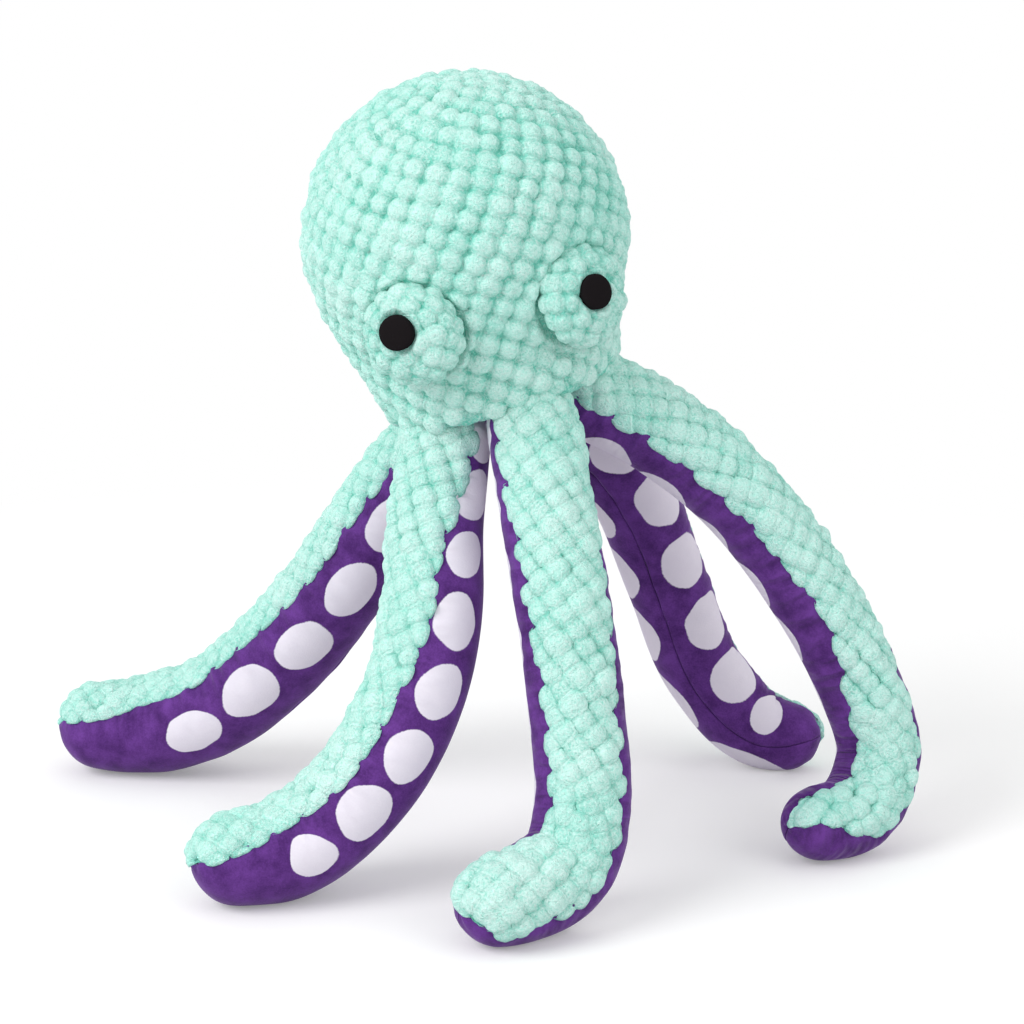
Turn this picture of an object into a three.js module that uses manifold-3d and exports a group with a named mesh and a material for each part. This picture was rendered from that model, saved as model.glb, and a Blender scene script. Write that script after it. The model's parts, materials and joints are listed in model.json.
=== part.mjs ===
// A stuffed toy octopus. A bulb-shaped head stands on five bent, stuffed tentacles. Each tentacle is a
// tube of three panels over a core of stuffing: bobble fabric on top and two strips of smooth velour,
// with a seam between them, underneath. Its root ball sits in a socket in the neck, where it swings
// about the seam. Sizes are in millimetres, +Z is up.
import * as THREE from "three";
import { mergeVertices } from "three/addons/utils/BufferGeometryUtils.js";
import Module from "manifold-3d";

const wasm = await Module();
wasm.setup();

// Driving sizes of the head
const bulbRadius = 58.5;
const bulbRise = 67;
const hingeHeight = 160;
const headLeanDeg = 16;

// Driving sizes of the tentacles
const rootRadius = 17.2;
const tentacleRadius = 19.4;
const tipRadius = 16.5;
const tipLength = 17;
const rootOpeningDeg = 38;
const topHalfAngleDeg = 52;
const backLeftReach = 166.5;
const frontLeftReach = 106;
const frontReach = 88;
const rightReach = 80;
const backRightReach = 120;

// Driving sizes of the eyes
const leftEyeHeight = 49;
const rightEyeHeight = 42;
const eyeSpreadDeg = 33.5;
const faceTurnDeg = 9;
const padRadius = 19;
const padProud = 10;
const padSink = 12;
const eyeRadius = 6.8;
const eyeThickness = 1.4;
const eyeUpDeg = 4;
const eyeInwardDeg = 8;

// Fabric thicknesses and clearances
const coverWall = 2.4;
const panelWall = 1.6;
const baseWall = 2;
const fitGap = 0.3;
const seamGap = 0.3;
const ballGap = 0.6;
const swingGap = 0.5;
const floorCut = 0.8;
const cutOverrun = 5;

// How finely each form is divided
const headSides = 20;
const crownSteps = 5;
const padSides = 12;
const padSteps = 4;
const topColumns = 4;
const underColumns = 3;
const ballSteps = 2;
const tubeSteps = 10;
const tipSteps = 3;
const routeSamples = 80;
const swingStepDeg = 20;
const socketSides = 12;
const seatingRounds = 3;

// The five root balls stand side by side in a ring, and the neck reaches most of the way over them.
const tentacleCount = 5;
const ringRadius = (rootRadius + ballGap / 2) / Math.sin(Math.PI / tentacleCount);
const neckCoverShare = 0.78;
const neckRadius = ringRadius + rootRadius * neckCoverShare;
const rimShare = 0.55;
const rimHeight = rootRadius * rimShare;

// Outline of the head between neck and bulb: share of the rise, share of the swelling from neck to bulb
const neckShares = [
  [0.27, 0.08],
  [0.41, 0.25],
  [0.58, 0.57],
  [0.8, 0.92],
];

// Swelling of a tentacle: share of its length, share of the way from root to full radius
const swellShares = [
  [0, 0],
  [0.1, 0.15],
  [0.35, 0.85],
  [0.55, 1],
  [1, 1],
];
const taperStartShare = 0.8;

// Spread of the top cover beyond its half angle: share of the length, share of the rest of the half round
const spreadShares = [
  [0, 0.14],
  [0.3, 0.07],
  [0.5, 0],
  [0.75, 0],
  [1, 0.2],
];

// Each route runs from the hinge to the tip. Its points are shares of the reach outwards, of the reach
// sideways and of the drop from the hinge to the foot. ringTurnDeg is the root's place in the ring,
// girthShare is the tube's share of the full radius, and twistDegs turns the underside about the route:
// share of the length, angle. Left and right are as seen from the front, which is the face's side.
const tentacles = [
  {
    name: "back_left_tentacle",
    ringTurnDeg: 141,
    headingDeg: 164,
    reach: backLeftReach,
    girthShare: 1.05,
    routeShares: [
      [0.13, -0.01, 0.795],
      [0.275, -0.03, 0.52],
      [0.44, -0.05, 0.268],
      [0.62, -0.06, 0.08],
      [0.8, -0.05, 0],
    ],
    twistDegs: [
      [0, -10],
      [0.35, -10],
      [0.6, 4],
      [0.8, 5],
      [1, 2],
    ],
    raiseDeg: 20,
  },
  {
    name: "front_left_tentacle",
    ringTurnDeg: 213,
    headingDeg: 214,
    reach: frontLeftReach,
    girthShare: 0.97,
    routeShares: [
      [0.08, 0.07, 0.8],
      [0.155, 0.165, 0.6],
      [0.26, 0.215, 0.4],
      [0.43, 0.2, 0.19],
      [0.67, 0.11, 0.025],
    ],
    twistDegs: [
      [0, 16],
      [0.3, 47],
      [0.65, 53],
      [0.85, 64],
      [1, 56],
    ],
    raiseDeg: 40,
  },
  {
    name: "front_tentacle",
    ringTurnDeg: 285,
    headingDeg: 253,
    reach: frontReach,
    girthShare: 0.91,
    routeShares: [
      [0.14, 0.11, 0.78],
      [0.27, 0.215, 0.57],
      [0.36, 0.285, 0.38],
      [0.47, 0.345, 0.17],
      [0.6, 0.32, 0.04],
      [0.78, 0.19, 0],
    ],
    twistDegs: [
      [0, 4],
      [0.3, 10],
      [0.5, 15],
      [1, 15],
    ],
    raiseDeg: 40,
  },
  {
    name: "right_tentacle",
    ringTurnDeg: 357,
    headingDeg: 332,
    reach: rightReach,
    girthShare: 0.85,
    routeShares: [
      [0.3, 0.14, 0.905],
      [0.605, 0.29, 0.757],
      [0.875, 0.43, 0.55],
      [1.11, 0.53, 0.315],
      [1.235, 0.55, 0.12],
      [1.2, 0.36, 0],
    ],
    twistDegs: [
      [0, 24],
      [0.25, 38],
      [0.5, 40],
      [0.7, 72],
      [0.85, 68],
      [1, 98],
    ],
    raiseDeg: 30,
  },
  {
    name: "back_right_tentacle",
    ringTurnDeg: 69,
    headingDeg: 17,
    reach: backRightReach,
    girthShare: 0.88,
    routeShares: [
      [0.225, 0.055, 0.855],
      [0.36, 0.1, 0.68],
      [0.49, 0.145, 0.44],
      [0.635, 0.165, 0.17],
      [0.82, 0.1, 0],
    ],
    twistDegs: [
      [0, -20],
      [0.4, -42],
      [0.7, -40],
      [1, -55],
    ],
    raiseDeg: 30,
  },
];

// Finishes
const mintBobble = new THREE.MeshStandardMaterial({ color: 0x9fe3d0, roughness: 0.95, metalness: 0 });
const purpleVelour = new THREE.MeshStandardMaterial({ color: 0x4f2a80, roughness: 0.9, metalness: 0 });
const blackFelt = new THREE.MeshStandardMaterial({ color: 0x1c1a1c, roughness: 0.9, metalness: 0 });
const whiteFibre = new THREE.MeshStandardMaterial({ color: 0xf2f2ee, roughness: 1, metalness: 0 });

// The panels of a tentacle's skin. Each spans the tube from one angle to another, measured from its top
// line, by the angle of the top cover's seam. The right one is on the right as seen from the root.
const panels = [
  {
    name: "top_cover",
    spanOf: (seamAngle) => [-seamAngle, seamAngle],
    columns: topColumns,
    wall: coverWall,
    material: mintBobble,
  },
  {
    name: "right_under_panel",
    spanOf: (seamAngle) => [seamAngle, Math.PI],
    columns: underColumns,
    wall: panelWall,
    material: purpleVelour,
  },
  {
    name: "left_under_panel",
    spanOf: (seamAngle) => [Math.PI, 2 * Math.PI - seamAngle],
    columns: underColumns,
    wall: panelWall,
    material: purpleVelour,
  },
];

const up = new THREE.Vector3(0, 0, 1);

function toSolid(geometry) {
  const bare = geometry.clone();
  bare.deleteAttribute("normal");
  bare.deleteAttribute("uv");
  const merged = mergeVertices(bare);
  return new wasm.Manifold(new wasm.Mesh({
    numProp: 3,
    vertProperties: new Float32Array(merged.attributes.position.array),
    triVerts: new Uint32Array(merged.index.array),
  }));
}

function toGeometry(solid) {
  const mesh = solid.getMesh();
  const geometry = new THREE.BufferGeometry();
  geometry.setAttribute("position", new THREE.BufferAttribute(new Float32Array(mesh.vertProperties), 3));
  geometry.setIndex(new THREE.BufferAttribute(new Uint32Array(mesh.triVerts), 1));
  geometry.computeVertexNormals();
  return geometry;
}

function namedMesh(name, solid, material) {
  const mesh = new THREE.Mesh(toGeometry(solid), material);
  mesh.name = name;
  return mesh;
}

function radians(degrees) {
  return THREE.MathUtils.degToRad(degrees);
}

// A solid of revolution about +Z from an outline of [radius, height] points that starts and ends on the axis
function turned(outline, sides) {
  const points = outline.map(([radius, height]) => new THREE.Vector2(radius, height));
  return toSolid(new THREE.LatheGeometry(points, sides).rotateX(Math.PI / 2));
}

// Head: its outline, from the rim of the neck to the crown, set in by an inset
function headOutline(inset, rim) {
  const swelling = bulbRadius - neckRadius;
  const lower = neckShares.map(([rise, swell]) => [neckRadius + swelling * swell - inset, bulbRise * rise]);
  const crown = [];
  for (let step = 0; step < crownSteps; step += 1) {
    const angle = (step / crownSteps) * (Math.PI / 2);
    crown.push([(bulbRadius - inset) * Math.cos(angle), bulbRise + (bulbRadius - inset) * Math.sin(angle)]);
  }
  return [[neckRadius - inset, rim], ...lower, ...crown, [0, bulbRise + bulbRadius - inset]];
}

function headBody(inset, rim) {
  return turned([[0, rim], ...headOutline(inset, rim)], headSides);
}

// Places in the ring of root balls, in the head's own frame
function rootPlace(turnDeg) {
  const turn = radians(turnDeg);
  return new THREE.Vector3(ringRadius * Math.cos(turn), ringRadius * Math.sin(turn), 0);
}

const headFrame = new THREE.Matrix4().makeRotationY(-radians(headLeanDeg)).setPosition(0, 0, hingeHeight);
const headTurnBack = new THREE.Matrix4().extractRotation(headFrame).invert();

// A tentacle's route from its hinge, which is at the origin, to its tip, which lies a drop lower
function routeOf(tentacle, drop) {
  const heading = radians(tentacle.headingDeg);
  const outward = new THREE.Vector3(Math.cos(heading), Math.sin(heading), 0);
  const sideways = new THREE.Vector3(-Math.sin(heading), Math.cos(heading), 0);
  const hinge = rootPlace(tentacle.ringTurnDeg).applyMatrix4(headFrame);
  const shares = [[0, 0, 1], ...tentacle.routeShares, [1, 0, 0]];
  const points = shares.map(([out, side, height]) => new THREE.Vector3()
    .addScaledVector(outward, tentacle.reach * out)
    .addScaledVector(sideways, tentacle.reach * side)
    .addScaledVector(up, drop * (height - 1)));
  return { hinge, curve: new THREE.CatmullRomCurve3(points, false, "centripetal") };
}

function between(shares, place) {
  const next = shares.findIndex(([at]) => at >= place);
  if (next <= 0) {
    return shares[0][1];
  }
  const [startAt, start] = shares[next - 1];
  const [endAt, end] = shares[next];
  const step = THREE.MathUtils.smoothstep(place, startAt, endAt);
  return start + (end - start) * step;
}

function radiusAt(place, girthShare) {
  const full = tentacleRadius * girthShare;
  const swollen = rootRadius + (full - rootRadius) * between(swellShares, place);
  const taper = THREE.MathUtils.smoothstep(place, taperStartShare, 1);
  return swollen + (tipRadius * girthShare - full) * taper;
}

// The angle from the top line to the top cover's seam
function seamAngleAt(place) {
  const half = radians(topHalfAngleDeg);
  return half + (Math.PI - half) * between(spreadShares, place);
}

// Places of the tube's rings as shares of the route's length, closer together where the route bends
function ringPlaces(curve) {
  const efforts = [0];
  let before = curve.getTangentAt(0);
  for (let sample = 1; sample <= routeSamples; sample += 1) {
    const here = curve.getTangentAt(sample / routeSamples);
    efforts.push(efforts[sample - 1] + 1 / routeSamples + before.angleTo(here) / Math.PI);
    before = here;
  }
  const places = [];
  for (let step = 0; step <= tubeSteps; step += 1) {
    const effort = efforts[routeSamples] * (step / tubeSteps);
    places.push(efforts.findIndex((reached) => reached >= effort) / routeSamples);
  }
  return places;
}

// Rings of a tentacle's surface, set in by an inset: the root ball behind the hinge, the tube and the tip.
// Each ring has its centre, its radius, its two cross directions and the angle of the top cover's seam.
// The last one is the tip's point.
function ringsOf({ girthShare, twistDegs }, route, inset) {
  const length = route.curve.getLength();
  const rings = [];
  const start = route.curve.getTangentAt(0);
  const sideways = new THREE.Vector3().crossVectors(start, up).normalize();
  const topward = new THREE.Vector3().crossVectors(sideways, start);
  let tangent = start;
  let top = topward;
  const add = (centre, radius, place) => {
    const twisted = top.clone().applyAxisAngle(tangent, radians(between(twistDegs, place)));
    const side = new THREE.Vector3().crossVectors(tangent, twisted);
    rings.push({ centre, radius, top: twisted, side, seamAngle: seamAngleAt(place) });
  };
  const ball = rootRadius - inset;
  for (let step = 0; step < ballSteps; step += 1) {
    const angle = radians(rootOpeningDeg + (90 - rootOpeningDeg) * (step / ballSteps));
    add(start.clone().multiplyScalar(-ball * Math.cos(angle)), ball * Math.sin(angle), 0);
  }
  const capStart = 1 - tipLength / length;
  const carry = (place) => {
    const next = route.curve.getTangentAt(place);
    top = top.clone().applyQuaternion(new THREE.Quaternion().setFromUnitVectors(tangent, next));
    tangent = next;
  };
  for (const share of ringPlaces(route.curve)) {
    const place = capStart * share;
    carry(place);
    add(route.curve.getPointAt(place), radiusAt(place, girthShare) - inset, place);
  }
  const capRadius = radiusAt(capStart, girthShare) - inset;
  for (let step = 1; step <= tipSteps; step += 1) {
    const angle = (step / tipSteps) * (Math.PI / 2);
    const place = capStart + ((tipLength - inset) / length) * Math.sin(angle);
    carry(place);
    add(route.curve.getPointAt(place), step < tipSteps ? capRadius * Math.cos(angle) : 0, place);
  }
  return rings;
}

// A point on a ring, at an angle from its top line, moved along the ring's surface by a shift
function ringPoint(ring, angle, shift) {
  return ring.centre.clone()
    .addScaledVector(ring.top, ring.radius * Math.cos(angle) - shift * Math.sin(angle))
    .addScaledVector(ring.side, ring.radius * Math.sin(angle) + shift * Math.cos(angle));
}

// A closed body from points and triangles, with its faces turned outwards
function bodyOf(points, faces) {
  let volume = 0;
  for (const [a, b, c] of faces) {
    volume += points[a].dot(new THREE.Vector3().crossVectors(points[b], points[c]));
  }
  const turnedFaces = volume < 0 ? faces.map(([a, b, c]) => [a, c, b]) : faces;
  const geometry = new THREE.BufferGeometry().setFromPoints(points);
  geometry.setIndex(turnedFaces.flat());
  return toSolid(geometry);
}

// One panel of a tentacle's skin, from its outer to its inner surface
function panelOf(panel, outerRings, innerRings) {
  const { columns } = panel;
  const points = [];
  const faces = [];
  const rows = outerRings.length - 1;
  const width = columns + 1;
  const quad = (a, b, c, d) => faces.push([a, b, c], [a, c, d]);
  for (const rings of [outerRings, innerRings]) {
    for (let row = 0; row < rows; row += 1) {
      const [fromAngle, toAngle] = panel.spanOf(rings[row].seamAngle);
      for (let column = 0; column <= columns; column += 1) {
        const angle = fromAngle + (toAngle - fromAngle) * (column / columns);
        const atStart = column === 0 ? seamGap / 2 : 0;
        const atEnd = column === columns ? -seamGap / 2 : 0;
        points.push(ringPoint(rings[row], angle, atStart + atEnd));
      }
    }
  }
  for (const rings of [outerRings, innerRings]) {
    const tip = rings[rows];
    const [fromAngle, toAngle] = panel.spanOf(tip.seamAngle);
    const middle = (fromAngle + toAngle) / 2;
    points.push(tip.centre.clone()
      .addScaledVector(tip.top, (seamGap / 2) * Math.cos(middle))
      .addScaledVector(tip.side, (seamGap / 2) * Math.sin(middle)));
  }
  const outer = (row, column) => row * width + column;
  const inner = (row, column) => rows * width + outer(row, column);
  const outerTip = 2 * rows * width;
  const innerTip = outerTip + 1;
  for (let row = 0; row < rows - 1; row += 1) {
    for (let column = 0; column < columns; column += 1) {
      quad(outer(row, column), outer(row + 1, column), outer(row + 1, column + 1), outer(row, column + 1));
      quad(inner(row, column), inner(row, column + 1), inner(row + 1, column + 1), inner(row + 1, column));
    }
    quad(outer(row, 0), inner(row, 0), inner(row + 1, 0), outer(row + 1, 0));
    quad(outer(row, columns), outer(row + 1, columns), inner(row + 1, columns), inner(row, columns));
  }
  for (let column = 0; column < columns; column += 1) {
    quad(outer(0, column), outer(0, column + 1), inner(0, column + 1), inner(0, column));
    faces.push([outer(rows - 1, column), outerTip, outer(rows - 1, column + 1)]);
    faces.push([inner(rows - 1, column), inner(rows - 1, column + 1), innerTip]);
  }
  quad(outer(rows - 1, 0), inner(rows - 1, 0), innerTip, outerTip);
  quad(outer(rows - 1, columns), outerTip, innerTip, inner(rows - 1, columns));
  return bodyOf(points, faces);
}

// Angles of the columns right round a ring, so that the core's sides lie behind the panels' sides
function columnAngles(ring) {
  return panels.flatMap(({ spanOf, columns }) => {
    const [fromAngle, toAngle] = spanOf(ring.seamAngle);
    const angles = [];
    for (let column = 0; column < columns; column += 1) {
      angles.push(fromAngle + (toAngle - fromAngle) * (column / columns));
    }
    return angles;
  });
}

// The stuffing inside a tentacle, closed at its root and its tip
function coreOf(rings) {
  const width = columnAngles(rings[0]).length;
  const rows = rings.length - 1;
  const points = [];
  const faces = [];
  for (let row = 0; row < rows; row += 1) {
    for (const angle of columnAngles(rings[row])) {
      points.push(ringPoint(rings[row], angle, 0));
    }
  }
  const rootPoint = points.push(rings[0].centre.clone()) - 1;
  const tipPoint = points.push(rings[rows].centre.clone()) - 1;
  for (let column = 0; column < width; column += 1) {
    const next = (column + 1) % width;
    faces.push([rootPoint, column, next]);
    for (let row = 0; row < rows - 1; row += 1) {
      const here = row * width;
      const there = here + width;
      faces.push([here + column, there + column, there + next], [here + column, there + next, here + next]);
    }
    faces.push([(rows - 1) * width + column, tipPoint, (rows - 1) * width + next]);
  }
  return bodyOf(points, faces);
}

// The floor as a slab under a tentacle, in the frame of its hinge
function floorUnder(hinge, reach) {
  const side = 4 * (reach + tentacleRadius);
  const depth = tentacleRadius;
  return toSolid(new THREE.BoxGeometry(side, side, depth).translate(0, 0, -hinge.z - depth / 2));
}

// The level axis of a root's seam. A positive turn about it raises the tentacle.
function seamAxis(turnDeg) {
  const turn = radians(turnDeg);
  return new THREE.Vector3(Math.sin(turn), -Math.cos(turn), 0);
}

// The room in the neck for a root ball and for the start of its tube as it swings up, in the head's frame
function socketOf(tentacle, route) {
  const place = rootPlace(tentacle.ringTurnDeg);
  const facet = Math.cos(Math.PI / socketSides);
  const radius = (rootRadius + swingGap) / facet;
  const reach = 2 * rootRadius;
  let room = toSolid(new THREE.SphereGeometry(radius / facet, socketSides, socketSides / 2));
  const swingSteps = Math.ceil(tentacle.raiseDeg / swingStepDeg);
  for (let step = 0; step <= swingSteps; step += 1) {
    const angle = radians(tentacle.raiseDeg * (step / swingSteps));
    const direction = route.curve.getTangentAt(0).applyAxisAngle(seamAxis(tentacle.ringTurnDeg), angle);
    direction.applyMatrix4(headTurnBack);
    const bore = new THREE.CylinderGeometry(radius, radius, reach, socketSides).translate(0, reach / 2, 0);
    bore.applyQuaternion(new THREE.Quaternion().setFromUnitVectors(new THREE.Vector3(0, 1, 0), direction));
    room = room.add(toSolid(bore));
  }
  return room.translate([place.x, place.y, place.z]);
}

// The panels of a tentacle's skin as solids, in the panels' order. They share their inner surface.
function skinOf(tentacle, route) {
  const liningRings = ringsOf(tentacle, route, coverWall);
  return panels.map((panel) => {
    const outerRings = ringsOf(tentacle, route, coverWall - panel.wall);
    return panelOf(panel, outerRings, liningRings);
  });
}

// The route whose foot goes below the floor by just what is cut off flat there
function seatedRoute(tentacle) {
  let drop = hingeHeight - tentacleRadius;
  let route = routeOf(tentacle, drop);
  for (let round = 0; round < seatingRounds; round += 1) {
    const heights = skinOf(tentacle, route).map((panel) => panel.boundingBox().min[2]);
    drop += Math.min(...heights) + route.hinge.z + floorCut;
    route = routeOf(tentacle, drop);
  }
  return route;
}

const routes = tentacles.map(seatedRoute);

// One tentacle: the panels of its skin and its stuffing, in a group that stands at its hinge
function tentacleGroup(tentacle, route) {
  const group = new THREE.Group();
  group.name = tentacle.name;
  group.position.copy(route.hinge);
  const floor = floorUnder(route.hinge, tentacle.reach);
  skinOf(tentacle, route).forEach((solid, index) => {
    const { name, material } = panels[index];
    group.add(namedMesh(`${tentacle.name}_${name}`, solid.subtract(floor), material));
  });
  const core = coreOf(ringsOf(tentacle, route, coverWall + fitGap));
  group.add(namedMesh(`${tentacle.name}_stuffing`, core, whiteFibre));
  return group;
}

// Head: the bobble cover, the panel that closes the neck, and the stuffing, all open to the root balls
function headPieces(sockets) {
  const belowRim = rimHeight - cutOverrun;
  const cover = headBody(0, rimHeight).subtract(headBody(coverWall, belowRim));
  const panelTop = rimHeight + baseWall;
  const panelRadius = neckRadius - coverWall - fitGap;
  const base = turned([[0, rimHeight], [panelRadius, rimHeight], [panelRadius, panelTop], [0, panelTop]], headSides);
  const stuffing = headBody(coverWall + fitGap, panelTop + fitGap);
  const open = (solid) => sockets.reduce((body, socket) => body.subtract(socket), solid);
  return [
    namedMesh("head_cover", open(cover), mintBobble),
    namedMesh("neck_base_panel", open(base), purpleVelour),
    namedMesh("head_stuffing", open(stuffing), whiteFibre),
  ];
}

// The head's radius at a height over the ring, read from its outline
function headRadiusAt(height) {
  const outline = headOutline(0, rimHeight);
  const next = outline.findIndex(([, at]) => at >= height);
  const [startRadius, startAt] = outline[next - 1];
  const [endRadius, endAt] = outline[next];
  return startRadius + ((endRadius - startRadius) * (height - startAt)) / (endAt - startAt);
}

// A domed button for an eye pad, grown by an allowance, that points along +Z and stands in the head
function padDome(grow) {
  const radius = padRadius + grow;
  const outline = [];
  for (let step = 0; step < padSteps; step += 1) {
    const angle = (step / padSteps) * (Math.PI / 2);
    outline.push([radius * Math.cos(angle), (padProud + grow) * Math.sin(angle)]);
  }
  return turned([[0, -padSink], [radius, -padSink], ...outline, [0, padProud + grow]], padSides);
}

// A level direction, turned from the front towards the right
function facing(turnDeg) {
  return new THREE.Vector3(0, -1, 0).applyAxisAngle(up, radians(turnDeg));
}

// Both eye pads: a bobble cover over stuffing, sewn to the head, each with a round felt eye on its face.
// The pads face away from the head's axis, and each eye sits a little above its pad's middle and inwards.
function eyePieces() {
  const seat = headBody(-fitGap, rimHeight);
  const forward = new THREE.Vector3(0, 1, 0);
  const pieces = [];
  const sides = [
    ["left", -1, leftEyeHeight],
    ["right", 1, rightEyeHeight],
  ];
  for (const [side, sign, height] of sides) {
    const outward = facing(faceTurnDeg + sign * eyeSpreadDeg);
    const place = outward.clone().multiplyScalar(headRadiusAt(height)).setZ(height);
    const stand = new THREE.Matrix4()
      .makeRotationFromQuaternion(new THREE.Quaternion().setFromUnitVectors(up, outward))
      .setPosition(place);
    const padGrown = (grow) => padDome(grow).transform(stand.toArray());
    const look = facing(faceTurnDeg + sign * (eyeSpreadDeg - eyeInwardDeg))
      .addScaledVector(up, Math.tan(radians(eyeUpDeg)))
      .normalize();
    const eyeReach = padRadius + padProud;
    const bore = new THREE.CylinderGeometry(eyeRadius, eyeRadius, eyeReach, padSides)
      .translate(0, eyeReach / 2, 0)
      .applyQuaternion(new THREE.Quaternion().setFromUnitVectors(forward, look))
      .translate(place.x, place.y, place.z);
    const cover = padGrown(0).subtract(padGrown(-coverWall)).subtract(seat);
    const stuffing = padGrown(-coverWall - fitGap).subtract(seat);
    const eye = padGrown(eyeThickness + fitGap).intersect(toSolid(bore)).subtract(padGrown(fitGap));
    pieces.push(
      namedMesh(`${side}_eye_pad_cover`, cover, mintBobble),
      namedMesh(`${side}_eye_pad_stuffing`, stuffing, whiteFibre),
      namedMesh(`${side}_eye`, eye, blackFelt),
    );
  }
  return pieces;
}

const head = new THREE.Group();
head.name = "head";
head.applyMatrix4(headFrame);
head.add(...headPieces(tentacles.map((tentacle, index) => socketOf(tentacle, routes[index]))), ...eyePieces());

// The whole toy, moved so that the middle of its box stands over the origin
const octopus = new THREE.Group();
octopus.add(head, ...tentacles.map((tentacle, index) => tentacleGroup(tentacle, routes[index])));
octopus.updateMatrixWorld(true);
const middle = new THREE.Box3().setFromObject(octopus, true).getCenter(new THREE.Vector3());
octopus.position.set(-middle.x, -middle.y, 0);

export default octopus;
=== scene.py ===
"""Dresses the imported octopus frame: bobble plush, spotted velour and felt on a studio floor."""
import json
import math

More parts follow.
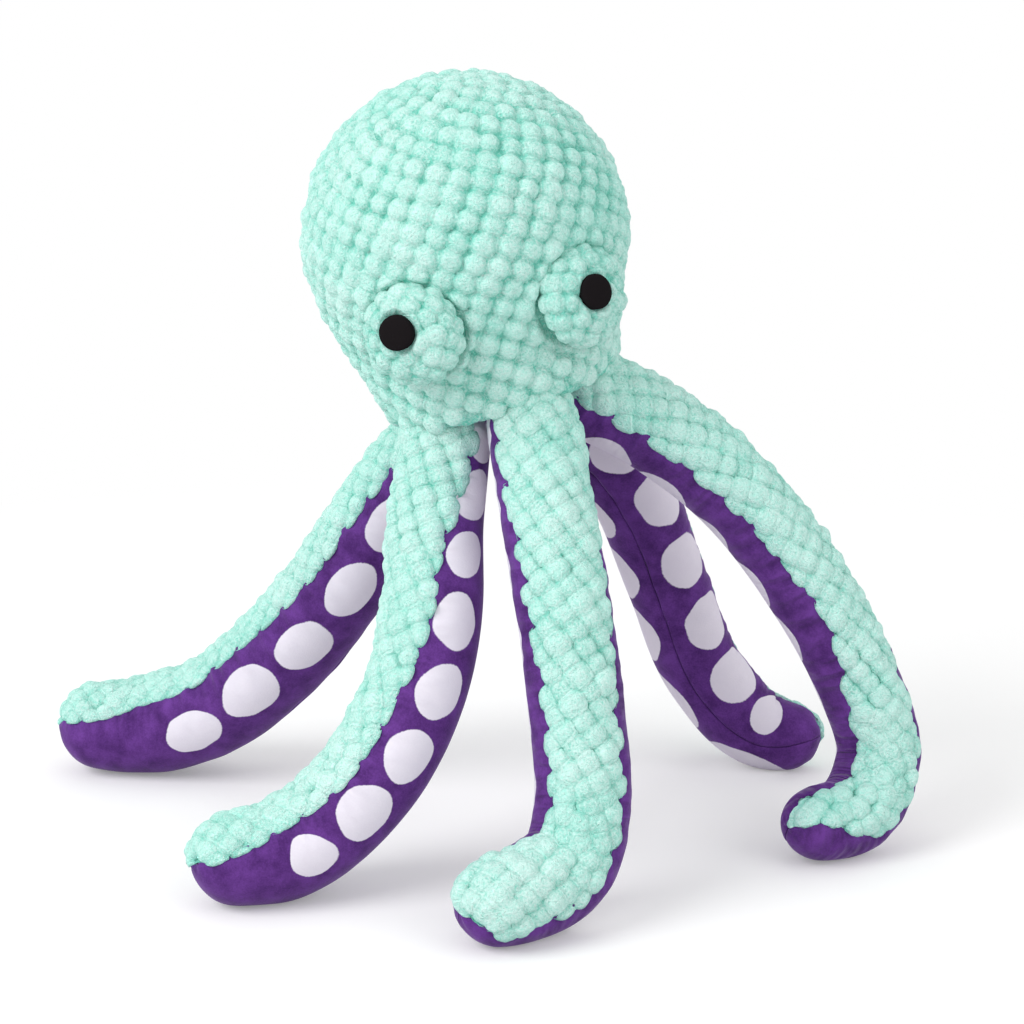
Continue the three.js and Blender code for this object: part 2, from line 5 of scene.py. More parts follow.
import bpy
import numpy as np
from bpy.props import FloatProperty, FloatVectorProperty, IntProperty, PointerProperty
from bpy.types import Operator, Panel, PropertyGroup
from mathutils import Matrix, Vector, noise
from mathutils.bvhtree import BVHTree
from mathutils.kdtree import KDTree
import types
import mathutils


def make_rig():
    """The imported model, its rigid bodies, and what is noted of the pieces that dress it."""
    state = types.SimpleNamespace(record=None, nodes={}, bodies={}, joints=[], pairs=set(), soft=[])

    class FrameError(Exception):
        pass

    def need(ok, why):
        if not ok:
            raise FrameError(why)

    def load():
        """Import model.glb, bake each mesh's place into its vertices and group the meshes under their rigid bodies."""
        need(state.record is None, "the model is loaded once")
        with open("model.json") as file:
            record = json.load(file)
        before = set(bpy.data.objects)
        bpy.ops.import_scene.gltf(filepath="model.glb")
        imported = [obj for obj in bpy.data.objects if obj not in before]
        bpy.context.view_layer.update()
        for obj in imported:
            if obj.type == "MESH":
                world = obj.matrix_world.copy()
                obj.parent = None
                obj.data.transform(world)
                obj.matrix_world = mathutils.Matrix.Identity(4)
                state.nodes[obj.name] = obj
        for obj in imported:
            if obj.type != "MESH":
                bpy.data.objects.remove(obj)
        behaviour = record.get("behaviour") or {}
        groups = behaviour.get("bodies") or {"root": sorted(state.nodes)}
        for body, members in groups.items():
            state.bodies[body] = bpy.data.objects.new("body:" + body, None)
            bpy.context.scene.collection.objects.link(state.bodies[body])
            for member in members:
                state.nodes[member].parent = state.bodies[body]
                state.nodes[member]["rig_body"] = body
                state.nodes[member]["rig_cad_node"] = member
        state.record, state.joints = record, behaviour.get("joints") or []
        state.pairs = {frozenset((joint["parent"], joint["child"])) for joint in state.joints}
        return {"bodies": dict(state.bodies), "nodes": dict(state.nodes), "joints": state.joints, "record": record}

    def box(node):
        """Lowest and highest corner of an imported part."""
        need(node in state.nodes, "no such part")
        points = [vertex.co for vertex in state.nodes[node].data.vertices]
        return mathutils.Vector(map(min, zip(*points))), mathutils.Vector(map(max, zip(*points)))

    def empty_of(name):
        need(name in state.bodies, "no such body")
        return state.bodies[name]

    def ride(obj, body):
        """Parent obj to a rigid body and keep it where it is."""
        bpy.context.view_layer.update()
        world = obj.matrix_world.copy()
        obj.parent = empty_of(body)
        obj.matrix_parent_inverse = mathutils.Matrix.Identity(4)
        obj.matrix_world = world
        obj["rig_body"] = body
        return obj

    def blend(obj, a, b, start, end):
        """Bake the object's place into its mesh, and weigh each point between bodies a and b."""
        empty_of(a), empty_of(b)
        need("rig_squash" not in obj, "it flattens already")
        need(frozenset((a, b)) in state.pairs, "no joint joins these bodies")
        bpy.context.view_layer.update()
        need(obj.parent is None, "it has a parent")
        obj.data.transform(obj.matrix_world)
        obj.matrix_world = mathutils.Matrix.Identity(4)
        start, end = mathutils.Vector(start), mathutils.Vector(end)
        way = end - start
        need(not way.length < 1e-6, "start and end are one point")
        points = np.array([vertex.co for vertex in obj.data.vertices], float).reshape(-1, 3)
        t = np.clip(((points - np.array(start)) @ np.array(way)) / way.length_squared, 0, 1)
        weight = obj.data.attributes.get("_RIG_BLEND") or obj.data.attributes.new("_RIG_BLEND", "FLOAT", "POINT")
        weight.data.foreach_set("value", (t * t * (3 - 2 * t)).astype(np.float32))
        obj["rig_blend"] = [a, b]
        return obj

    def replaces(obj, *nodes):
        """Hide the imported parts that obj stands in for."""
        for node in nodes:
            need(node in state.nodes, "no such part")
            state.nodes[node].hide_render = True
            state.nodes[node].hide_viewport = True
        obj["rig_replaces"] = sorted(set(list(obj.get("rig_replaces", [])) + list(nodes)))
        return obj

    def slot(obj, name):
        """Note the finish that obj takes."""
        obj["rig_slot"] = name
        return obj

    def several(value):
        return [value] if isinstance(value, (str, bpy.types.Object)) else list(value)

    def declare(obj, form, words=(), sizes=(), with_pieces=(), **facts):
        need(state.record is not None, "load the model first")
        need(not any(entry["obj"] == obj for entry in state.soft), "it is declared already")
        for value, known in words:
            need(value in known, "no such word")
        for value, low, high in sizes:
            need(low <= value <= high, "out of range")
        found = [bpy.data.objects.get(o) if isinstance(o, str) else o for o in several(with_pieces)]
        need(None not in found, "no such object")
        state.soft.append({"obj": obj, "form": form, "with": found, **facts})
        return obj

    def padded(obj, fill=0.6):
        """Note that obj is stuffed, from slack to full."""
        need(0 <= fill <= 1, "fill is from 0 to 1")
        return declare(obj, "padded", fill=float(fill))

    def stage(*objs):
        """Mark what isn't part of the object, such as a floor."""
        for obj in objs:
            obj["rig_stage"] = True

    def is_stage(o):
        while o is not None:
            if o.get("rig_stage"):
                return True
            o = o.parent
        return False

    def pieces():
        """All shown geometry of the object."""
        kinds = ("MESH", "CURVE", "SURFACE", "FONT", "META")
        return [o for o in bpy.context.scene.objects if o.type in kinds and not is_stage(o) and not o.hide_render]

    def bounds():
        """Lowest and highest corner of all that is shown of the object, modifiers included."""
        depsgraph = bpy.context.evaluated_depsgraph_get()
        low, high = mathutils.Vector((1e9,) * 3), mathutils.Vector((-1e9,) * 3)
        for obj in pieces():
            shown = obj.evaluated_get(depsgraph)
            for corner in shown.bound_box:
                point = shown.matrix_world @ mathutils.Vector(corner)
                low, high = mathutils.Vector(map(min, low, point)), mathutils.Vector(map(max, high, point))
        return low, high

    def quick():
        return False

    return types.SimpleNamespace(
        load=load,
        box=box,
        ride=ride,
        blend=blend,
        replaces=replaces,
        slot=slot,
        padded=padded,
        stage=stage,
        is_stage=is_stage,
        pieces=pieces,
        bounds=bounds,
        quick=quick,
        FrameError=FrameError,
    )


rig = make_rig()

bl_info = {
    "name": "Plush Octopus",
    "version": (1, 0, 0),
    "blender": (4, 5, 0),
    "location": "3D View > Sidebar > Octopus",
    "description": "Sews the plush octopus over its packed frame",
    "category": "Object",
}

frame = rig.load()
CAD_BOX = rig.bounds()
SIZE_FILE = "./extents.json"
UP = np.array((0.0, 0.0, 1.0))
TINY = 1e-6

# The ring of hinges, read from the frame
HINGES = {joint["child"]: np.array(joint["pos_m"]) for joint in frame["joints"]}
RING_MIDDLE = np.mean(list(HINGES.values()), axis=0)
RING_RADIUS = float(np.mean([np.linalg.norm(hinge - RING_MIDDLE) for hinge in HINGES.values()]))

# Outline of the head between neck and bulb: share of the rise, share of the swelling from neck to bulb
NECK_SHARES = ((0.27, 0.08), (0.41, 0.25), (0.58, 0.57), (0.8, 0.92))
NECK_COVER_SHARE = 0.78
RIM_SHARE = 0.55
BULB_START_SHARE = 0.985

# Heights over the ring of hinges between which the bulb's overhang sets in
OVERHANG_START = 0.02
OVERHANG_END = 0.06

# The neck panel: the rings of its net, the sag of its middle, and its folds with their height, their number
# round the panel, how far and how often they sway, and the shares of its radius between which they set in
PANEL_RINGS = 12
PANEL_SAG = 0.002
FOLD_HEIGHT = 0.0007
FOLD_NUMBER = 15
SWAY_HEIGHT = 0.8
SWAY_NUMBER = 3
FOLD_START_SHARE = 0.25
FOLD_END_SHARE = 0.9

# Bobbles: how many of them shape one point, the ground between them as a share of their lift, how far their
# fibres point outwards and how wide a crease is as shares of their radius, and the sizes of the nap's tufts
NEAR_BOBBLES = 5
GROUND_SHARE = 0.22
FIBRE_RISE_SHARE = 0.5
CREASE_SHARE = 0.6
NAP_TUFTS = (0.0016, 0.0034)

# How sharply the bobbles of a piece are set off from each other
HEAD_SHARPNESS = 10
PAD_SHARPNESS = 9
TENTACLE_SHARPNESS = 8

# Bobbles pressed down under a pad and under an eye: the share of their height that is left, and the shares
# of the pad's or the eye's radius between which they rise again
UNDER_PAD_SHARES = (0.3, 0.88, 1.03)
UNDER_EYE_SHARES = (0.35, 0.9, 1.35)

# Rings of bobbles on a pad: their number, shares of the pad's radius and of its rise, and their turn as a
# share of the angle between two
PAD_RING_SHARES = ((15, 1, 0.05, 0), (14, 0.95, 0.6, 0.5), (10, 0.66, 0.95, 0.2), (5, 0.33, 1, 0.4),
                   (1, 0, 1, 0))
PAD_LIFT_SHARE = 0.9
PAD_ROUNDNESS = 3

# A felt eye: the rings of its net, its crown, the press of its rim and its bevel as shares of its thickness,
# the waves round its edge, and their height as a share of its radius
EYE_RINGS = 9
EYE_CROWN_SHARE = 0.75
EYE_PRESS_SHARE = 0.25
EYE_BEVEL_SHARE = 0.2
EYE_WAVES = (3, 5, 8, 13, 21)
EYE_WAVE_SHARE = 0.022
EYE_SEEDS = {"left": 21, "right": 22}

# The cloth bends this many times more easily than it stretches
BENDING_EASE = 100

# Swelling of a tentacle: share of its length, share of the way from root to full radius
SWELL_SHARES = ((0, 0), (0.1, 0.15), (0.35, 0.85), (0.55, 1), (1, 1))
TAPER_START_SHARE = 0.8
TENTACLE_SEED = 31

# Rows of bobbles across a tentacle: how many stand on either side of the top line and how many rows run past
# either end. As shares of the distance between two: how far one may stand past a seam, how near to another
# it may stand, how near to a seam it is held, and the distance to which crowded ones are pushed by a share
# of the lack at a time
ROW_REACH = 9
SPARE_ROWS = 3
PAST_SEAM_SHARE = 0.2
CROWDED_SHARE = 0.65
HELD_SHARE = 0.5
SETTLED_SHARE = 1.05
PUSH_SHARE = 0.3

# The edge of a top cover: its width, how far its bobbles lean out, and the share of their height they lose
EDGE_WIDTH = 0.005
EDGE_LEAN = 0.35
EDGE_LOSS_SHARE = 0.25

# Shares of the bobble cloth's wall that lie under the bare surface and over it
WALL_UNDER_SHARE = 0.8
WALL_OVER_SHARE = 0.25

# An under panel is tucked in below the top cover, from before the seam to behind it, and has a groove along
# its seam with the other panel
TUCK_DEPTH = 0.0007
TUCK_START = -0.003
TUCK_END = 0.0015
GROOVE_DEPTH = 0.0004
GROOVE_WIDTH = 0.0022

# Waves of the velour along the seam with the top cover and along the middle one: their height, how far from
# the seam they reach, their length, how much they stretch across the seam, and a place in the noise
PUCKERS = {"height": 0.0011, "reach": 0.015, "size": 0.0045, "stretch": 0.25, "layer": 0.01}
SWELLS = {"height": 0.0005, "reach": 0.009, "size": 0.011, "stretch": 0.4, "layer": 0.02}

# How finely outlines and curves are drawn
CROWN_POINTS = 40
SIDE_POINTS = 60
SIDE_BLUR = 4
RIM_POINTS = 8
AREA_POINTS = 400
CURVE_POINTS = 64
ROOT_POINTS = 12
TUBE_POINTS = 160
TIP_POINTS = 24
SEAT_POINTS = (120, 48)
SEAT_ROUNDS = 4

# Place and size of each studio light, and the height on the toy at which both are aimed
LIGHTS = {"key": ((-1.35, -0.85, 1.25), 1.3), "fill": ((1.2, -0.9, 0.9), 1.2)}
LIT_HEIGHT = 0.12
SENSOR_WIDTH = 36

# What the top covers share at their roots: share of the length, share of the rest of the half round
ROOT_SPREAD_SHARES = ((0, 0.18), (0.3, 0.09), (0.5, 0))
SPOT_HALF_WIDTH = 0.0094

# Each route runs from the hinge to the tip. Its points are shares of the reach outwards, of the reach
# sideways and of the drop from the hinge to the foot. Girth is a share of the full radius. Twist turns
# the underside about the route: share of the length, degrees. Spread widens the top cover beyond its half
# angle, or narrows it: share of the length, share of the rest of the half round. Of the spots it gives the
# distance between two, the way from the tip back to the nearest, how far the row lies off its strip's
# middle and half the width of a spot.
TENTACLES = {
    "back_left_tentacle": {
        "heading": 164,
        "reach": 0.1665,
        "girth": 1.05,
        "route_shares": ((0.13, -0.01, 0.795), (0.275, -0.03, 0.52), (0.44, -0.05, 0.268),
                         (0.62, -0.06, 0.08), (0.8, -0.05, 0)),
        "twist": ((0, -10), (0.35, -10), (0.6, 4), (0.8, 5), (1, 2)),
        "spread": ((0, 0.18), (0.3, 0.1), (0.45, 0.06), (0.8, 0.06), (1, 0.2)),
        "spots": (0.0312, 0.0735, 0.003, SPOT_HALF_WIDTH),
    },
    "front_left_tentacle": {
        "heading": 214,
        "reach": 0.106,
        "girth": 0.97,
        "route_shares": ((0.08, 0.07, 0.8), (0.155, 0.165, 0.6), (0.26, 0.215, 0.4), (0.43, 0.2, 0.19),
                         (0.67, 0.11, 0.025)),
        "twist": ((0, 16), (0.3, 47), (0.65, 53), (0.85, 64), (1, 56)),
        "spread": (*ROOT_SPREAD_SHARES, (0.75, 0), (1, 0.2)),
        "spots": (0.0227, 0.051, 0.0075, SPOT_HALF_WIDTH),
    },
    "front_tentacle": {
        "heading": 253,
        "reach": 0.088,
        "girth": 0.91,
        "route_shares": ((0.14, 0.11, 0.78), (0.27, 0.215, 0.57), (0.36, 0.285, 0.38), (0.47, 0.345, 0.17),
                         (0.6, 0.32, 0.04), (0.78, 0.19, 0)),
        "twist": ((0, 4), (0.3, 10), (0.5, 15), (0.75, 15), (1, 42)),
        "spread": (*ROOT_SPREAD_SHARES, (0.75, 0), (1, 0.45)),
        "spots": (0.026, 0.055, 0, SPOT_HALF_WIDTH),
    },
    "right_tentacle": {
        "heading": 332,
        "reach": 0.08,
        "girth": 0.85,
        "route_shares": ((0.3, 0.14, 0.905), (0.605, 0.29, 0.757), (0.875, 0.43, 0.55), (1.11, 0.53, 0.315),
                         (1.235, 0.55, 0.12), (1.2, 0.36, 0)),
        "twist": ((0, 24), (0.25, 38), (0.5, 40), (0.7, 72), (0.85, 70), (1, 94)),
        "spread": (*ROOT_SPREAD_SHARES, (0.85, 0), (1, -0.12)),
        "spots": (0.027, 0.04, -0.0058, SPOT_HALF_WIDTH),
    },
    "back_right_tentacle": {
        "heading": 17,
        "reach": 0.12,
        "girth": 0.88,
        "route_shares": ((0.225, 0.055, 0.855), (0.36, 0.1, 0.68), (0.49, 0.145, 0.44), (0.635, 0.165, 0.17),
                         (0.82, 0.1, 0)),
        "twist": ((0, -20), (0.4, -42), (0.7, -40), (1, -55)),
        "spread": (*ROOT_SPREAD_SHARES, (0.75, 0), (1, 0.2)),
        "spots": (0.03, 0.0335, -0.001, 0.0118),
    },
}


def length(name, default, description):
    return FloatProperty(
        name=name, description=description, default=default, min=0, unit="LENGTH", precision=4)


def angle(name, degrees, description):
    return FloatProperty(name=name, description=description, default=math.radians(degrees), unit="ROTATION")


def number(name, default, description):
    return FloatProperty(name=name, description=description, default=default)


def count(name, default, description):
    return IntProperty(name=name, description=description, default=default, min=1)


def colour(name, default, description):
    return FloatVectorProperty(
        name=name, description=description, default=default, subtype="COLOR", size=3, min=0, max=1)


class HeadSizes(PropertyGroup):
    bulb_radius: length("Bulb radius", 0.0585, "Radius of the round upper part of the head")
    bulb_rise: length("Bulb rise", 0.067, "Height of the bulb's middle over the ring of hinges")
    lean: angle("Lean", 16, "How far the head leans to its right hand side")
    rim_round: length("Rim rounding", 0.004, "Radius of the rolled lower rim")
    bulb_shift: length("Bulb shift", 0.0024, "How far the bulb hangs over to its right")
    grain: length("Cloth grain", 0.0036, "Spacing of the cloth's points while it is stuffed")


class BobbleSizes(PropertyGroup):
    head_spacing: length("Head spacing", 0.0077, "Distance between two bobbles on the head")
    arm_across: length("Across spacing", 0.0069, "Distance between two bobbles across a tentacle")
    arm_along: length("Along spacing", 0.0075, "Distance between two rows of bobbles along a tentacle")
    arm_slope: number("Row slope", 0.5, "Slope of the rows across a tentacle")
    head_radius: length("Head bobbles", 0.0047, "Radius of a bobble on the head")
    arm_radius: length("Tentacle bobbles", 0.005, "Radius of a bobble on a tentacle")
    pad_radius: length("Pad bobbles", 0.0045, "Radius of a bobble on an eye pad")
    lift: length("Lift", 0.0036, "How far a bobble stands over the cloth's backing")
    sink: length("Sink", 0.0027, "How far the backing lies under the frame's surface")
    jitter: number("Jitter", 0.1, "Unevenness of the bobbles as a share of their radius")
    nap: length("Nap", 0.00035, "Height of the fluff on a bobble")
    seed: count("Seed", 7, "Seed of the unevenness")


class TentacleSizes(PropertyGroup):
    root_radius: length("Root radius", 0.0172, "Radius of the ball at the root")
    full_radius: length("Full radius", 0.0194, "Radius of the full tube")
    tip_radius: length("Tip radius", 0.0165, "Radius where the tip's rounding starts")
    tip_length: length("Tip length", 0.017, "Length of the tip's rounding")
    top_half_angle: angle("Top half angle", 52, "Half of the round that the top cover takes")
    root_opening: angle("Root opening", 38, "Half angle of the ball's opening in the neck")
    panel_step: length("Panel step", 0.0008, "How far the velour lies under the frame's surface")
    cover_wall: length("Cover wall", 0.0024, "Thickness of the bobble cloth")
    panel_wall: length("Panel wall", 0.0016, "Thickness of the velour")
    floor_cut: length("Floor cut", 0.0008, "How far a foot is pressed flat")
    grain: length("Cloth grain", 0.003, "Spacing of the cloth's points while it is stuffed")
    columns: count("Columns", 42, "Points round the tube")
    seam_columns: count("Seam columns", 7, "Columns from the top line to either seam")
    bend_start: length("Bend start", 0.002, "Where a swinging tentacle starts to bend, from its hinge")
    bend_end: length("Bend end", 0.028, "Where a swinging tentacle stops bending, from its hinge")


class EyeSizes(PropertyGroup):
    left_height: length("Left height", 0.0465, "Height of the left pad's middle over the ring of hinges")
    right_height: length("Right height", 0.042, "Height of the right pad's middle over the ring of hinges")
    spread: angle("Spread", 33.5, "Angle between the face's middle and either pad")
    left_inward: angle("Left inward", 2, "How much nearer to the face's middle the left pad lies")
    face_turn: angle("Face turn", 9, "How far the face is turned to its left hand side")
    pad_radius: length("Pad radius", 0.019, "Outer radius of an eye pad")
    pad_proud: length("Pad rise", 0.01, "How far a pad stands out of the head")
    pad_sink: length("Pad sink", 0.006, "How deep a pad sits in the head")
    pad_grain: length("Pad grain", 0.0021, "Spacing of a pad's points while it is stuffed")
    eye_radius: length("Eye radius", 0.0061, "Radius of a felt eye")
    eye_wall: length("Eye thickness", 0.0016, "Thickness of a felt eye")
    eye_up: angle("Eye up", 4, "How far an eye is sewn above its pad's middle")
    eye_inward: angle("Eye inward", 8, "How far an eye is sewn towards the face's middle")


class StuffingSettings(PropertyGroup):
    pull: number("Pull", 0.7, "Tension that the stuffing puts on the cloth, in newtons a metre")
    point_mass: number("Point mass", 0.005, "Mass of one point of the cloth, in kilograms")
    stretch: number("Stretch stiffness", 0.1, "Resistance of the cloth to stretching")
    frames: count("Frames", 20, "Steps of the stuffing")
    head_cap: length("Head cap", 0.002, "Most that a point of the head may move")
    arm_cap: length("Tentacle cap", 0.0015, "Most that a point of a tentacle may move")
    pad_cap: length("Pad cap", 0.001, "Most that a point of a pad may move")


class SpotSizes(PropertyGroup):
    long_share: number("Length", 0.4, "Half the length of a spot as a share of the distance between two")


class FabricColours(PropertyGroup):
    mint: colour("Mint", (0.5, 0.88, 0.79), "Bobble plush at the top of a bobble")
    # Whitish fibre tips, used also as a painted highlight that is strongest on the bobbles' tops
    mint_tip_highlight: colour("Mint tip", (0.75, 0.94, 0.9), "Tips of the bobble plush's fibres")
    # Painted shade: the darker, greener colour given to the plush deep in the creases, where shade falls
    mint_crease_shade: colour("Mint crease", (0.17, 0.64, 0.52), "Bobble plush deep between bobbles")
    mint_sheen: colour("Mint sheen", (0.55, 1, 0.87), "Bobble plush seen along its surface")
    purple: colour("Purple", (0.14, 0.042, 0.27), "Velour")
    # Dark end of the velour's random nap, and also its painted shade in the hollows of the gathers
    purple_dark_nap_and_fold_shade: colour("Purple dark", (0.06, 0.014, 0.125), "Velour whose nap lies away")
    purple_sheen: colour("Purple sheen", (0.8, 0.65, 1), "Velour seen along its surface")
    spot: colour("Spot", (0.78, 0.74, 0.82), "Spots of the velour")
    # Also the spots' painted shade along the gathers
    spot_dark_nap_and_fold_shade: colour("Spot dark", (0.66, 0.62, 0.72), "Spots where the nap stands up")
    felt: colour("Felt", (0.007, 0.006, 0.007), "Felt of the eyes")
    felt_fibre: colour("Felt fibre", (0.013, 0.01, 0.011), "Upper fibres of the felt")


class StageSettings(PropertyGroup):
    camera_height: angle("Camera height", 14, "How far the camera looks down")
    camera_distance: length("Camera distance", 0.8801, "Distance from the neck to the camera's plane")
    camera_drop: length("Camera drop", 0.0353, "How far the camera's axis passes under the neck")
    lens: number("Lens", 85, "Focal length in millimetres")
    floor_radius: length("Floor radius", 12, "Radius of the floor")
    floor_colour: colour("Floor colour", (0.76, 0.76, 0.76), "Matte cloth of the floor")
    floor_lift: number("Floor lift", 0.22, "Glow that the camera sees on the floor near the toy")
    shadow_reach: length("Shadow reach", 0.3, "Distance from the toy at which the floor starts to turn white")
    key: number("Key light", 23.7, "Power of the large light at the left, in watts")
    fill: number("Fill light", 5.2, "Power of the light at the right, in watts")
    sky: number("Sky", 0.8, "Strength of the white room")


# Small helpers

def values_of(group):
    """One group of the values that the panel shows, such as the head's sizes."""
    return getattr(bpy.context.scene, f"octopus_{group}")


def smoothstep(value, start, end):
    share = np.clip((value - start) / (end - start), 0, 1)
    return share * share * (3 - 2 * share)


def unit(vectors):
    return vectors / np.maximum(np.linalg.norm(vectors, axis=-1, keepdims=True), TINY)


def between(shares, place):
    """A value of a table of places, with a smooth step from each entry to the next."""
    places = np.array([entry[0] for entry in shares], float)
    values = np.array([entry[1] for entry in shares], float)
    index = np.clip(np.searchsorted(places, place, side="left"), 1, len(places) - 1)
    step = smoothstep(place, places[index - 1], places[index])
    return values[index - 1] + (values[index] - values[index - 1]) * step


def way_along(points):
    """How far each point lies along the line through all of them."""
    steps = np.linalg.norm(np.diff(points, axis=0), axis=1)
    return np.concatenate([[0], np.cumsum(steps)])


def polar(points):
    """Distance from the Z axis and angle round it, for each point."""
    return np.hypot(points[:, 0], points[:, 1]), np.arctan2(points[:, 1], points[:, 0])


def placed(matrix, points):
    """Points in a local frame, as numpy rows, moved to where a matrix stands."""
    turn = np.array(matrix.to_3x3())
    return np.asarray(points) @ turn.T + np.array(matrix.translation)


def turned_to(direction):
    """The turn that brings the +Z axis to a direction."""
    return Vector((0, 0, 1)).rotation_difference(direction).to_matrix().to_4x4()


def deselect():
    for chosen in bpy.context.selected_objects:
        chosen.select_set(False)


def activate(piece):
    deselect()
    piece.select_set(True)
    bpy.context.view_layer.objects.active = piece


def newest(name):
    piece = bpy.context.object
    piece.name = name
    piece.data.name = name
    return piece


def disc(name, radius, corners):
    deselect()
    bpy.ops.mesh.primitive_circle_add(vertices=corners, radius=radius, fill_type="NGON")
    return newest(name)


def ball(name, radius, segments, rings):
    deselect()
    bpy.ops.mesh.primitive_uv_sphere_add(segments=segments, ring_count=rings, radius=radius)
    return newest(name)


def inset_rings(rings, step):
    """Insets the selected face of a disc again and again, each time by a step."""
    for _ in range(rings):
        bpy.ops.mesh.inset(thickness=step, depth=0)


def rows_of(items, field, width, kind=np.float32):
    """One field of all items of a mesh, as rows of numbers."""
    flat = np.empty(len(items) * width, kind)
    items.foreach_get(field, flat)
    return flat.reshape(-1, width)


def write_rows(items, field, rows):
    items.foreach_set(field, np.asarray(rows, np.float32).ravel())


def points_of(piece):
    return rows_of(piece.data.vertices, "co", 3).astype(float)


def move_points(piece, points):
    write_rows(piece.data.vertices, "co", points)
    piece.data.update()


def normals_of(piece):
    return rows_of(piece.data.vertex_normals, "vector", 3).astype(float)


def corners_of(piece):
    """The point at each corner of the faces."""
    return rows_of(piece.data.loops, "vertex_index", 1, np.int64)[:, 0]


def corner_pattern(piece):
    """Girth and way at each corner of the faces, from the pattern on the cloth."""
    return rows_of(piece.data.uv_layers["pattern"].data, "uv", 2)


def write_pattern(piece, rows):
    write_rows(piece.data.uv_layers["pattern"].data, "uv", rows)


def pattern_of(piece):
    """Girth and way of each point, as two rows."""
    rows = np.zeros((len(piece.data.vertices), 2))
    rows[corners_of(piece)] = corner_pattern(piece)
    return rows.T


def apply(piece, kind, name, **settings):
    """Adds a modifier with its settings and applies it."""
    activate(piece)
    modifier = piece.modifiers.new(name, kind)
    for setting, value in settings.items():
        setattr(modifier, setting, value)
    bpy.ops.object.modifier_apply(modifier=modifier.name)


def subdivide(piece, levels):
    apply(piece, "SUBSURF", "Finer cloth", levels=levels, render_levels=levels,
          boundary_smooth="PRESERVE_CORNERS", uv_smooth="NONE")


def even_out(piece, grain, rounds):
    """Gives the piece an even net of points, a grain apart, and smooths it."""
    apply(piece, "REMESH", "Even cloth", mode="VOXEL", voxel_size=grain, use_smooth_shade=True)
    apply(piece, "SMOOTH", "Settled cloth", factor=0.5, iterations=rounds)


def shade_smooth(piece):
    activate(piece)
    bpy.ops.object.shade_smooth()


def tree_of(piece):
    return BVHTree.FromObject(piece, bpy.context.evaluated_depsgraph_get())


def on_cloth(tree, point):
    """The place on the cloth nearest to a point."""
    return np.array(tree.find_nearest(Vector(point))[0])


def eased(piece, rows, rounds=4):
    """Evens out the rows of values that the points of a cloth have, along its edges."""
    ends = rows_of(piece.data.edges, "vertices", 2, np.int64)
    first, second = ends.T
    neighbours = np.maximum(np.bincount(ends.ravel(), minlength=len(rows)), 1)[:, None]
    for _ in range(rounds):
        around = np.zeros_like(rows)
        np.add.at(around, first, rows[second])
        np.add.at(around, second, rows[first])
        rows = (rows + around / neighbours) / 2
    return rows


def stuff(piece, radius, cap, pinned=None):
    """Presses the stuffing against the cloth by simulation.

    The same tension needs more pressure in a thinner piece. The even part of the swelling is taken back, and
    no point moves further than the cap.
    """
    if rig.quick():
        return
    values = values_of("stuffing")
    before = points_of(piece)
    outward = normals_of(piece)
    activate(piece)
    cloth = piece.modifiers.new("Stuffing", "CLOTH")
    cloth.settings.use_pressure = True
    cloth.settings.uniform_pressure_force = values.pull / radius
    cloth.settings.mass = values.point_mass
    for resistance in ("tension", "compression", "shear"):
        setattr(cloth.settings, f"{resistance}_stiffness", values.stretch)
    cloth.settings.bending_stiffness = values.stretch / BENDING_EASE
    cloth.settings.effector_weights.gravity = 0
    if pinned is not None:
        group = piece.vertex_groups.new(name="sewn down")
        group.add([int(index) for index in np.flatnonzero(pinned)], 1, "REPLACE")
        cloth.settings.vertex_group_mass = group.name
    for step in range(1, values.frames + 1):
        bpy.context.scene.frame_set(step)
    bpy.ops.object.modifier_apply(modifier=cloth.name)
    bpy.context.scene.frame_set(1)
    move = points_of(piece) - before
    swelling = np.einsum("ij,ij->i", move, outward)
    move = eased(piece, move - outward * np.clip(swelling, 0, swelling.mean())[:, None])
    reach = np.linalg.norm(move, axis=1, keepdims=True)
    move_points(piece, before + move * np.minimum(1, cap / np.maximum(reach, TINY)))


# Bobbles

